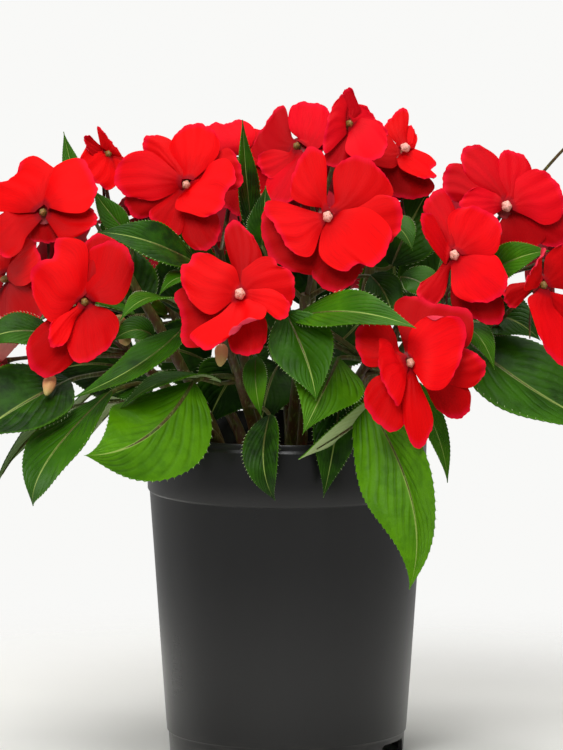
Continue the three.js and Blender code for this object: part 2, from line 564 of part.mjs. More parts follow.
    petals: [
      [[-10, 2, -4], [-16, 1, -6], [-19, -6, -6], [-15, -11, -6], [-3, -1, -2]],
      [[14, -3, -2], [27, -2, -4], [24, 14, -5], [19, 21, -5], [5, 15, -3], [2, 5, -1]],
      [[4, -17, -2], [13, -29, -4], [24, -28, -5], [26, -9, -3], [11, -5, -2], [3, -3, -1]],
      [[0, 6, 1], [0, 19, 6], [1, 16, 9], [-10, 5, 8], [-13, -3, 7], [-4, -2, 3]],
      [[-4, -4, 1], [-9, -7, 2], [-8, -15, 3], [-1, -36, 5], [8, -44, 5], [12, -22, 3], [5, -12, 2]],
    ] },
  { name: 'bloom_top_rear', shoot: 'top_left', at: [-26, 22, 315], faces: [-75, 46],
    petals: openPetals(10, 0.8) },
  { name: 'bloom_faded_left', shoot: 'left', at: [-152, -30, 214], faces: [-125, -8],
    petals: [[-95, 27, 36, 20, -5], [-140, 26, 36, 16, -5], [-40, 26, 36, 22, -6],
      [70, 25, 40, 10, -4]].map(roundRim) },
  { name: 'bloom_left_edge', shoot: 'left', at: [-147, -6, 256], faces: [-150, 16],
    petals: openPetals(20, 0.95) },
  { name: 'bloom_rear_left', shoot: 'rear_left', at: [-72, 66, 285], faces: [130, 58],
    petals: openPetals(-8, 1) },
  { name: 'bloom_rear_top', shoot: 'rear', at: [-4, 64, 304], faces: [95, 60],
    petals: openPetals(14, 1) },
  { name: 'bloom_rear_right', shoot: 'rear_right', at: [50, 60, 292], faces: [52, 58],
    petals: openPetals(-20, 0.97) },
  { name: 'bloom_back_left', shoot: 'rear_left', at: [-122, 58, 262], faces: [158, 16],
    petals: openPetals(6, 1) },
  { name: 'bloom_back_centre_left', shoot: 'rear_left', at: [-52, 105, 263], faces: [112, 14],
    petals: openPetals(-14, 1.02) },
  { name: 'bloom_back_centre', shoot: 'rear', at: [24, 112, 270], faces: [82, 18],
    petals: openPetals(10, 0.98) },
  { name: 'bloom_back_right', shoot: 'rear_right', at: [94, 92, 260], faces: [46, 14],
    petals: openPetals(-6, 1) },
  { name: 'bloom_right_side', shoot: 'rear_right', at: [140, 24, 262], faces: [8, 16],
    petals: openPetals(16, 0.98) },
];

// Shoots. A shoot is its stem's foot, knee and top, leaves placed one by one, fill leaves as
// azimuth, height on the stem, length, width and droop, and buds as their middle and heading.
const leaf = (base, mid, tip, faces, width, fold = 0.18) => ({ base, mid, tip, faces, width, fold });
const SHOOTS = [
  { name: 'front_left', foot: [-14, -30], knee: [-24, -50, 205], top: [-34, -62, 236],
    leaves: [
      leaf([-49, -69, 209], [-73, -101, 184], [-104, -119, 177], [-103, 9], 53, -0.3),
      leaf([-58, -70, 250], [-72, -88, 255], [-86, -102, 245], [-120, 60], 20),
      leaf([-46, -64, 270], [-72, -82, 284], [-98, -86, 289], [-95, 45], 26),
      leaf([-46, -74, 261], [-56, -83, 265], [-66, -91, 257], [-120, 50], 15),
      leaf([-54, -74, 238], [-78, -92, 220], [-111, -97, 204], [-118, 52], 23),
      leaf([-9, -82, 193], [-12, -110, 172], [-6, -102, 151], [-107, -1], 20, 0.5),
      leaf([-16, -84, 224], [-16, -92, 210], [-13, -92, 193], [-100, 20], 12),
    ],
    fill: [[-150, 200, 62, 30, 10]],
    buds: [[-34, -84, 225, -100, -60]] },
  { name: 'front_right', foot: [18, -30], knee: [30, -52, 195], top: [44, -66, 222],
    leaves: [
      leaf([-1, -88, 248], [10, -103, 225], [15, -121, 206], [-99, 41], 33, 0.37),
      leaf([27, -78, 223], [21, -104, 213], [8, -121, 188], [-78, 33], 38, -0.34),
      leaf([4, -78, 244], [34, -108, 250], [66, -128, 244], [-92, 50], 30),
      leaf([50, -78, 199], [30, -88, 186], [6, -96, 172], [92, 55], 28),
      leaf([37, -82, 207], [64, -110, 154], [63, -117, 107], [-119, -9], 44, 0.45),
      leaf([60, -69, 212], [77, -75, 186], [84, -78, 157], [-43, 30], 20, 0.1),
      leaf([28, -70, 206], [25, -80, 180], [19, -84, 150], [-95, 10], 24),
    ],
    fill: [] },
  { name: 'left', foot: [-34, -14], knee: [-58, -28, 195], top: [-84, -38, 222],
    leaves: [
      leaf([-92, -59, 203], [-123, -90, 172], [-132, -87, 146], [-142, 12], 44, 0.1),
      leaf([-114, -50, 208], [-141, -66, 195], [-166, -80, 179], [-100, 50], 52),
      leaf([-118, -28, 190], [-140, -44, 172], [-154, -60, 150], [150, 40], 22),
      leaf([-122, -40, 230], [-144, -48, 233], [-164, -52, 225], [-100, 48], 24),
      leaf([-70, -44, 230], [-80, -50, 234], [-92, -54, 228], [-110, 40], 18),
      leaf([-80, -24, 208], [-102, -16, 212], [-128, -10, 206], [-95, 18], 37),
      leaf([-72, -42, 207], [-83, -48, 203], [-94, -54, 200], [-100, 30], 23),
    ],
    fill: [],
    buds: [[-88, -44, 238, -95, 20], [-85, -46, 229, -80, -20], [-124, -66, 207, -110, -50]] },
  { name: 'upper_left', foot: [-36, 8], knee: [-60, 4, 215], top: [-86, 0, 260],
    leaves: [
      leaf([-84, -10, 281], [-94, -8, 292], [-103, -4, 304], [-95, 24], 13),
      leaf([-108, 22, 294], [-115, 32, 312], [-120, 40, 331], [-95, 10], 11),
      leaf([-80, 14, 230], [-92, 24, 256], [-98, 30, 288], [-95, 20], 42),
    ],
    fill: [[175, 205, 80, 38, 38], [164, 228, 66, 32, 10]] },
  { name: 'right', foot: [36, -12], knee: [66, -26, 190], top: [98, -38, 220],
    leaves: [
      leaf([89, -49, 233], [130, -70, 204], [172, -78, 183], [-69, 60], 58, 0.12),
      leaf([92, -64, 238], [101, -74, 232], [108, -82, 217], [-62, 34], 16),
      leaf([104, -36, 238], [118, -46, 239], [133, -54, 229], [-90, 38], 28),
    ],
    fill: [[-10, 202, 78, 38, 14], [12, 200, 72, 36, 16]] },
  { name: 'upper_right', foot: [34, 8], knee: [56, -8, 210], top: [84, -24, 250],
    leaves: [
      leaf([104, -44, 262], [120, -54, 272], [137, -62, 277], [-82, 36], 20),
      leaf([60, -50, 262], [72, -56, 258], [80, -66, 246], [-90, 50], 20),
      leaf([74, 6, 236], [82, 18, 260], [88, 24, 290], [-85, 20], 42),
    ],
    fill: [],
    buds: [[152, -14, 331, -20, 40]] },
  { name: 'front_centre', foot: [2, -14], knee: [6, -28, 210], top: [10, -42, 252],
    leaves: [
      leaf([-6, -44, 230], [-18, -52, 246], [-34, -56, 262], [-95, 30], 34),
      leaf([22, -44, 222], [36, -54, 236], [50, -58, 254], [-85, 30], 34),
      leaf([-13, -44, 278], [-12, -44, 292], [-11, -40, 309], [-90, 10], 17),
      leaf([44, -44, 262], [52, -50, 252], [56, -58, 238], [-80, 30], 20),
    ],
    fill: [] },
  { name: 'top_centre', foot: [8, 6], knee: [12, 4, 230], top: [16, 0, 286],
    leaves: [
      leaf([-17, -30, 278], [-21, -34, 312], [-23, -32, 343], [-40, 5], 17),
    ],
    fill: [] },
  { name: 'top_left', foot: [-14, 4], knee: [-24, -2, 220], top: [-36, -8, 272],
    leaves: [
      leaf([-25, 9, 206], [-34, 15, 194], [-44, 19, 172], [-95, 15], 34),
    ],
    fill: [] },
  { name: 'top_right', foot: [20, -6], knee: [36, -10, 225], top: [48, -8, 278],
    leaves: [
      leaf([52, -34, 288], [60, -42, 286], [66, -52, 276], [-70, 40], 18),
      leaf([56, 6, 262], [66, 10, 284], [76, 12, 302], [-85, 20], 34),
    ],
    fill: [] },
  { name: 'rear_left', foot: [-24, 28], knee: [-46, 46, 205], top: [-68, 62, 242],
    leaves: [
      leaf([-54, 46, 230], [-52, 36, 256], [-54, 30, 288], [-95, 20], 42),
      leaf([-42, 38, 206], [-60, 32, 214], [-82, 26, 216], [-90, 12], 37),
    ],
    fill: [[150, 192, 84, 38, 32], [124, 186, 84, 38, 46], [162, 218, 74, 34, 16],
      [137, 222, 70, 32, 14], [112, 214, 70, 35, 28], [128, 236, 38, 18, -6]] },
  { name: 'rear', foot: [2, 34], knee: [0, 60, 205], top: [0, 78, 242],
    leaves: [
      leaf([10, 60, 234], [16, 48, 260], [22, 40, 292], [-85, 20], 42),
      leaf([-12, 60, 232], [-18, 50, 258], [-22, 44, 290], [-95, 20], 40),
      leaf([-4, 46, 204], [-10, 36, 192], [-14, 28, 170], [-90, 20], 36),
      leaf([-8, 52, 212], [-22, 50, 215], [-38, 50, 216], [-90, 12], 36),
    ],
    fill: [[98, 186, 80, 38, 48], [74, 188, 80, 38, 44], [92, 218, 66, 34, 40],
      [66, 214, 66, 34, 34], [102, 242, 34, 18, -58]] },
  { name: 'rear_right', foot: [26, 26], knee: [50, 46, 205], top: [72, 58, 242],
    leaves: [
      leaf([60, 42, 230], [58, 34, 256], [57, 28, 286], [-85, 20], 40),
    ],
    fill: [[50, 190, 84, 38, 12], [26, 196, 80, 38, 20], [40, 210, 72, 34, 24],
      [14, 218, 70, 34, 18], [62, 218, 66, 32, 16], [-2, 240, 38, 18, -18]] },
];

const part = new THREE.Group();
const pieces = new Map();
function addPiece(name, body, finish) {
  const mesh = new THREE.Mesh(geometryOf(body), finish);
  mesh.name = name;
  pieces.set(name, body);
  part.add(mesh);
}

addPiece('pot', makePot(), POT_PLASTIC);
addPiece('soil', makeSoil(SHOOTS), POTTING_MIX);
for (const shoot of SHOOTS) {
  const carried = BLOOMS.filter((bloom) => bloom.shoot === shoot.name);
  addPiece(`shoot_${shoot.name}`, makeShoot(shoot, carried), GREEN_SHOOT);
}
for (const bloom of BLOOMS) {
  addPiece(bloom.name, makeBloom(bloom), bloom.name.includes('faded') ? FADED_PETAL : RED_PETAL);
}

export default part;
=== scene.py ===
import math
import random
from typing import NamedTuple

import bpy
import numpy as np
from mathutils import Matrix, Vector, noise


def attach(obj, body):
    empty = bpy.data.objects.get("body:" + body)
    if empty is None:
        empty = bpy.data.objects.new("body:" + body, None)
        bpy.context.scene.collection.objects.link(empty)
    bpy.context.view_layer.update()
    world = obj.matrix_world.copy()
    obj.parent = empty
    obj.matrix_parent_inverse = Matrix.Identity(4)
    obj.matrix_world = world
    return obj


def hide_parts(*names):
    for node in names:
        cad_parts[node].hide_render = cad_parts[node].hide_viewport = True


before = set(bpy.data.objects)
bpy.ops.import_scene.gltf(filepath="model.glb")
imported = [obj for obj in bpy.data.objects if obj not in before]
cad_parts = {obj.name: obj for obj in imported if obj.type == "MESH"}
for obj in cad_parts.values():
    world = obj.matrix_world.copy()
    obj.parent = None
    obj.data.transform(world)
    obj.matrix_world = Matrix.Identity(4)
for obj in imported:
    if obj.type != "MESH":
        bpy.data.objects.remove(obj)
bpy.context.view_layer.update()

bl_info = {
    "name": "Potted New Guinea impatiens",
    "version": (1, 0, 0),
    "blender": (4, 5, 0),
    "location": "View3D > Sidebar > Plant",
    "description": "Dresses the packed model of a red New Guinea impatiens in its black nursery pot",
    "category": "Object",
}

MM = 0.001

# Petals, in millimetres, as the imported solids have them
PETAL_NOTCH = 0.12  # how deep the middle of a plain petal's edge is cut in
NOTCH_WIDE = 0.2
SHOULDER = 0.58  # how much shorter a plain petal's sides are than its middle
PLAIN_RIM_STEPS = 13
PETAL_STACK = 1  # how far each petal's root is over the one before
ROOT_OUT = 1.5  # how far its root is from the bloom's axis

# The petals of a newly opened bloom: direction, length, half spread, lift and curl
OPEN_PETALS = [
    (-122, 34, 54, -6, -4),
    (-58, 34, 54, -6, -4),
    (158, 32, 54, 4, -3),
    (22, 32, 54, 4, -3),
    (90, 30, 56, 14, -3),
]


def round_rim(order, direction, length, spread, lift, curl):
    """The rim of a plain round petal, from its direction, its length, half its spread, its lift
    and the curl of its edge, with order petals behind it."""
    v = np.linspace(-1, 1, PLAIN_RIM_STEPS)
    notch = PETAL_NOTCH * np.exp(-((v / NOTCH_WIDE) ** 2))
    reach = length * (1 - SHOULDER * v ** 4) * ((1 - notch) / (1 - PETAL_NOTCH))
    out = reach * math.cos(math.radians(lift))
    rise = reach * math.sin(math.radians(lift)) + curl * (reach / length) ** 2 + order * PETAL_STACK
    turn = np.radians(direction + spread * v)
    return np.stack([out * np.cos(turn), out * np.sin(turn), rise], axis=-1)


def open_petals(roll, size):
    """The petals of a newly opened bloom, turned by a roll and scaled by a size."""
    return [round_rim(order, turn + roll, length * size, *form)
            for order, (turn, length, *form) in enumerate(OPEN_PETALS)]


class Bloom(NamedTuple):
    """A bloom. Its petals are rims in its own axes, from the one at the back to the one in front."""
    name: str
    shoot: str
    at: list  # its middle
    faces: list  # the azimuth and elevation it looks along
    petals: list
    tone: float = 0.12  # how far its red goes from scarlet, 0, to crimson, 1
    eye: float = 0.12  # how pale its column's head is, from greenish brown, 0, to peach, 1


class Leaf(NamedTuple):
    """A leaf by three points of its rib and the azimuth and elevation of its upper face."""
    base: list
    mid: list
    tip: list
    faces: list
    width: float
    tone: float  # from 0, old and dark, to 1, young and yellow-green
    fold: float = 0.18  # how steeply the halves of its blade rise from the rib


class Shoot(NamedTuple):
    """A shoot by its stem's foot, knee and top, and the leaves that are placed one by one."""
    name: str
    foot: list
    knee: list
    top: list
    leaves: list
    fill: list = ()  # more leaves: azimuth, height on the stem, length, width and droop
    buds: list = ()  # the middle of each, then the azimuth and elevation it points along


# Blooms: the front's from left to right, then the others
BLOOMS = [
    Bloom("left_top", "upper_left", [-128, -24, 293], [-100, 24], [
        [[-10, -2, -3], [-14, -9, -5], [7, -14, -4], [3, 0, -2]],
        [[-13, 4, -2], [-21, 0, 1], [-27, -8, 3], [-26, -19, 4], [-15, -27, 6], [-10, -23, 5],
         [-8, -14, 2]],
        [[10, -15, 2], [18, -14, 2], [29, -4, 0], [25, 4, -1], [8, 4, -1]],
        [[3, 26, -2], [-10, 33, -4], [-15, 30, -4], [-18, 22, -3], [-32, 13, -2], [-32, 4, -1],
         [-14, -1, 2]],
        [[4, 1, 6], [14, -2, 7], [23, -1, 5], [28, 13, 1], [25, 20, 0], [16, 33, -3], [2, 26, -2],
         [1, 15, 1]],
    ]),
    Bloom("left_rear", "upper_left", [-96, 18, 320], [-72, 36], [
        [[-3, 4, 3], [-12, 8, 8], [-11, 0, 4], [-6, -3, 1]],
        [[3, -1, 1], [7, -3, 3], [2, 6, 5], [-5, 13, 9], [-4, 3, 4]],
        [[0, -17, -2], [5, -16, -1], [9, -2, 0], [4, 3, -1]],
        [[-3, 3, 2], [-8, 6, 4], [-16, -4, 1], [-1, -20, -1], [3, -17, 0], [3, -10, 1]],
    ]),
    Bloom("left_mid", "left", [-105, -62, 250], [-95, 14], [
        [[9, 12, 0], [18, 28, -5], [8, 38, -9], [0, 35, -8], [-1, 6, 0]],
        [[-5, -2, 0], [-13, -5, 0], [-30, -22, 1], [-27, -36, 2], [-20, -40, 2], [-6, -32, 0],
         [1, -12, 0]],
        [[8, -1, 7], [17, -2, 6], [25, 20, 1], [17, 32, -2], [1, 28, -3], [0, 17, -2], [-3, 5, 0]],
        [[-4, -6, 2], [-8, -26, 6], [-2, -33, 9], [13, -25, 6], [18, -10, 3], [14, -5, 3], [5, -2, 2]],
        [[1, 8, 1], [-2, 32, -1], [-16, 33, 0], [-18, 22, 3], [-23, 21, 5], [-28, 16, 5], [-16, -12, 7],
         [-4, -1, 4]],
        [[-4, -3, 5], [-17, -14, 9], [-16, -25, 10], [-10, -24, 10], [-4, -9, 5]],
    ]),
    Bloom("left_centre", "top_left", [-52, -48, 309], [-95, 22], [
        [[-20, -1, -2], [-33, -5, -6], [-28, -15, -7], [-18, -14, -6], [-1, -6, -2]],
        [[-3, -19, -1], [-1, -28, 0], [8, -35, 1], [14, -33, 0], [18, -20, -3], [13, -10, -2],
         [5, -7, -1]],
        [[-7, -4, 0], [-20, -14, -2], [-3, -26, 1], [0, -13, 0]],
        [[9, 1, -1], [17, -1, -3], [28, 2, -4], [20, 23, -4], [11, 16, -3]],
        [[-5, 17, -2], [-9, 26, -3], [-20, 30, -5], [-24, 28, -4], [-22, 16, -2], [-15, 13, -1],
         [-6, 6, 0]],
        [[-13, 14, 1], [-20, 19, 1], [-32, 18, -1], [-39, 4, -1], [-32, -5, -1], [-26, -6, 0],
         [-18, -8, 1], [-4, -2, 0]],
        [[11, 11, 1], [16, 19, 0], [15, 28, -1], [3, 36, -2], [-10, 25, -1], [-4, 6, 1]],
        [[-5, -9, 6], [-5, -14, 8], [3, -17, 9], [11, -19, 9], [21, -11, 7], [20, -8, 6], [26, 3, 4],
         [20, 15, 3], [13, 13, 3], [7, 4, 2]],
    ], tone=0.25, eye=0.4),
    Bloom("front_left", "front_left", [-24, -97, 257], [-91, 22], [
        [[7, 10, -6], [11, 24, -10], [-5, 45, -15], [-8, 41, -14], [-3, 11, -6]],
        [[-6, 4, -4], [-23, 8, -6], [-34, 4, -7], [-34, 0, -7], [-31, -7, -7], [-29, -25, -5],
         [-13, -24, -3], [-5, -13, -2]],
        [[-5, -6, -1], [-7, -16, -2], [-3, -30, -1], [9, -31, 0], [14, -15, 0], [9, -5, 0]],
        [[8, -5, 0], [26, -5, -3], [25, 15, -3], [20, 16, -3], [17, 21, -3], [12, 22, -3], [1, 14, 0]],
        [[0, 6, 1], [-3, 15, 1], [-10, 19, 0], [-17, 23, 0], [-25, 22, 0], [-27, 17, 1], [-30, 16, 1],
         [-29, 3, 3], [-15, -12, 7], [-3, -3, 3]],
        [[4, -3, 3], [10, -7, 6], [22, -15, 8], [26, -8, 6], [18, 2, 4], [4, 3, 2]],
        [[-4, -4, 3], [-9, -11, 8], [-25, -25, 11], [-17, -32, 13], [-6, -25, 13], [-5, -22, 14],
         [4, -17, 15], [12, -17, 15], [14, -11, 12], [4, -2, 3]],
    ], eye=1.0),
    Bloom("centre", "front_centre", [21, -72, 295], [-88, 18], [
        [[-5, -7, -4], [-6, -21, -5], [-8, -29, -5], [4, -39, -3], [17, -28, -3], [13, -11, -2]],
        [[-5, 2, -4], [-32, 7, -10], [-29, -20, -8], [-3, -28, -4], [-1, -9, -2]],
        [[26, 6, -2], [35, 14, -5], [17, 35, -7], [5, 28, -5], [4, 8, -1]],
        [[12, -10, 1], [26, -17, 1], [38, -6, -1], [37, 10, -2], [30, 13, -2], [8, 3, 0]],
        [[0, 7, 3], [-3, 36, 1], [-8, 38, 0], [-18, 10, 2], [-11, 6, 3], [-3, 5, 2]],
        [[-3, 2, 2], [-32, 8, 0], [-33, 5, 0], [-29, -2, 2], [-16, -21, 6], [-10, -22, 6], [-3, -7, 4]],
        [[-3, -5, 3], [-4, -22, 6], [8, -30, 8], [16, -26, 8], [22, -28, 8], [33, -8, 4], [20, 5, 2],
         [9, 4, 2]],
    ], eye=0.85),
    Bloom("top_centre", "top_centre", [6, -14, 327], [-104, 28], [
        [[-4, 6, -1], [-12, 26, -4], [-25, -4, -3], [-17, -9, -2]],
        [[5, -1, -2], [16, 2, -3], [15, 21, -4], [7, 27, -4], [2, 18, -2]],
        [[-4, -3, 0], [-14, -2, 1], [-21, -6, 1], [-13, -19, 3], [-7, -19, 3], [-2, -12, 2]],
        [[-1, -7, 1], [-14, -20, 3], [-11, -33, 5], [6, -31, 5], [11, -24, 4], [8, -11, 2]],
        [[10, -3, 1], [16, 6, 1], [12, 24, 0], [-6, 24, 0], [-5, 9, 1], [1, 4, 1]],
    ], tone=0.6),
    Bloom("top", "top_centre", [32, -34, 340], [-72, 34], [
        [[-4, -3, -1], [-17, -22, 0], [-12, -25, 0], [7, -22, 0], [11, -14, 0], [4, -4, 0]],
        [[9, 8, 1], [2, 19, 7], [-4, 11, 3], [-1, 5, 1]],
        [[-1, 4, 3], [0, 10, 5], [-2, 14, 6], [-8, 9, 5], [-17, -19, 5], [-2, -6, 2]],
        [[6, -4, 0], [22, -5, -2], [11, 12, 0], [6, 12, 1], [2, 8, 1]],
        [[-1, -5, 2], [-6, -20, 7], [-2, -24, 8], [12, -23, 7], [19, -7, 3], [15, 1, 2], [8, 4, 1]],
    ], tone=0.75),
    Bloom("top_right", "top_right", [62, 4, 323], [-72, 44], [
        [[-5, -1, -2], [-15, 3, -7], [-13, -15, -12], [1, -24, -10], [12, -22, -8], [15, -19, -7],
         [3, -4, -2]],
        [[-3, 6, 0], [-7, 16, 0], [-14, 3, 0], [-24, -1, -1], [-7, -9, -2], [-2, -5, -1]],
        [[4, 9, 1], [8, 27, 2], [7, 28, 2], [-6, 18, 0], [-2, 4, 0]],
        [[7, 2, 0], [10, 9, 1], [7, 18, 1], [3, 16, 1], [3, 7, 0]],
        [[-5, -5, 1], [-5, -11, 1], [7, -19, 1], [15, -17, 0], [13, -13, 0], [16, -9, 0], [15, -4, 0],
         [4, 4, 0]],
    ], eye=0.9),
    Bloom("right_top", "upper_right", [115, -36, 297], [-86, 18], [
        [[-1, -4, -1], [-7, -16, -2], [-1, -23, -2], [21, -16, -2], [16, -6, -1]],
        [[3, -3, -1], [11, -15, -3], [29, -20, -4], [36, -13, -4], [35, -4, -3], [18, 1, -1]],
        [[-14, 16, -2], [-21, 24, -3], [-29, 24, -4], [-32, 9, -3], [-14, 1, -1], [-5, 2, 0]],
        [[0, 16, -1], [-3, 28, -3], [-15, 35, -4], [-21, 33, -4], [-20, 17, -1], [-3, 4, 1]],
        [[10, 11, -1], [15, 21, -3], [12, 28, -4], [1, 32, -4], [-4, 16, 0], [0, 6, 1]],
        [[12, -6, 3], [20, -10, 3], [28, -7, 2], [31, -1, 1], [26, 16, -1], [17, 21, -1], [3, 11, 1],
         [3, 5, 2]],
        [[-5, 7, 3], [-16, 10, 5], [-25, 0, 6], [-11, -7, 5], [-4, -3, 3]],
    ], tone=0.55, eye=0.95),
    Bloom("right_mid", "upper_right", [86, -72, 275], [-78, 20], [
        [[0, -5, -3], [0, -28, -4], [10, -33, -3], [18, -37, -2], [24, -35, -2], [26, -25, -2],
         [14, -8, -1]],
        [[-5, -3, -2], [-9, -8, 0], [-21, -18, 5], [-22, -23, 6], [-14, -27, 7], [-9, -24, 6],
         [-2, -8, 0]],
        [[6, 20, -2], [2, 34, -5], [-1, 38, -6], [-12, 29, -5], [-3, 7, -2]],
        [[-2, 7, 0], [-11, 22, 5], [-16, 21, 8], [-18, 16, 9], [-14, 6, 8], [-4, -5, 1]],
        [[10, 0, 3], [22, 0, 3], [26, 20, 0], [14, 27, -1], [0, 22, 0], [0, 5, 1]],
        [[-2, -6, 3], [-2, -22, 7], [12, -27, 8], [26, -20, 6], [23, -1, 3], [5, 2, 2]],
    ], tone=0.35, eye=0.7),
    Bloom("front_right", "front_right", [63, -111, 224], [-86, 12], [
        [[16, 2, -2], [32, 10, -6], [33, 27, -9], [13, 32, -12], [5, 36, -13], [-5, 33, -12],
         [-2, 7, -5]],
        [[5, -5, -3], [16, -25, -6], [24, -29, -6], [29, -27, -6], [32, -16, -5], [24, -6, -3]],
        [[22, -12, -2], [32, -13, -2], [40, -2, -3], [31, 7, -3], [11, 0, -2]],
        [[-5, 6, -1], [-7, 15, -1], [-13, 24, -1], [-27, 17, 0], [-22, -2, 3], [-16, -2, 4], [-12, 2, 4],
         [-7, 1, 2]],
        [[-5, -5, 0], [-19, -8, 1], [-24, -19, 1], [-9, -36, 4], [-5, -34, 4], [-1, -14, 1]],
        [[-1, -6, 2], [-4, -16, 4], [0, -42, 5], [3, -45, 5], [11, -33, 5], [3, -6, 2]],
        [[-7, 4, 4], [-11, 11, 6], [-16, 12, 8], [-15, 5, 8], [-17, -1, 9], [-15, -10, 10], [-7, -23, 11],
         [-3, -13, 8], [-2, -6, 4]],
        [[1, -4, 5], [9, -15, 12], [15, -15, 11], [27, 22, 4], [17, 23, 4], [13, 21, 4],
         [9, 23, 3], [0, 15, 2], [-1, 5, 2]],
    ], eye=0.4),
    Bloom("right_edge", "right", [132, -80, 261], [-70, 12], [
        [[-10, 2, -4], [-16, 1, -6], [-19, -6, -6], [-15, -11, -6], [-3, -1, -2]],
        [[14, -3, -2], [27, -2, -4], [24, 14, -5], [19, 21, -5], [5, 15, -3], [2, 5, -1]],
        [[4, -17, -2], [13, -29, -4], [24, -28, -5], [26, -9, -3], [11, -5, -2], [3, -3, -1]],
        [[0, 6, 1], [0, 19, 6], [1, 16, 9], [-10, 5, 8], [-13, -3, 7], [-4, -2, 3]],
        [[-4, -4, 1], [-9, -7, 2], [-8, -15, 3], [-1, -36, 5], [8, -44, 5], [12, -22, 3], [5, -12, 2]],
    ], tone=0.3),
    Bloom("top_rear", "top_left", [-26, 22, 315], [-75, 46], open_petals(10, 0.8), tone=0.5),
    Bloom("faded_left", "left", [-152, -30, 214], [-125, -8], [
        round_rim(0, -95, 27, 36, 20, -5), round_rim(1, -140, 26, 36, 16, -5),
        round_rim(2, -40, 26, 36, 22, -6), round_rim(3, 70, 25, 40, 10, -4),
    ]),
    Bloom("left_edge", "left", [-147, -6, 256], [-150, 16], open_petals(20, 0.95)),
    Bloom("rear_left", "rear_left", [-72, 66, 285], [130, 58], open_petals(-8, 1)),
    Bloom("rear_top", "rear", [-4, 64, 304], [95, 60], open_petals(14, 1)),
    Bloom("rear_right", "rear_right", [50, 60, 292], [52, 58], open_petals(-20, 0.97)),
    Bloom("back_left", "rear_left", [-122, 58, 262], [158, 16], open_petals(6, 1)),
    Bloom("back_centre_left", "rear_left", [-52, 105, 263], [112, 14], open_petals(-14, 1.02)),
    Bloom("back_centre", "rear", [24, 112, 270], [82, 18], open_petals(10, 0.98)),
    Bloom("back_right", "rear_right", [94, 92, 260], [46, 14], open_petals(-6, 1)),
    Bloom("right_side", "rear_right", [140, 24, 262], [8, 16], open_petals(16, 0.98)),
]

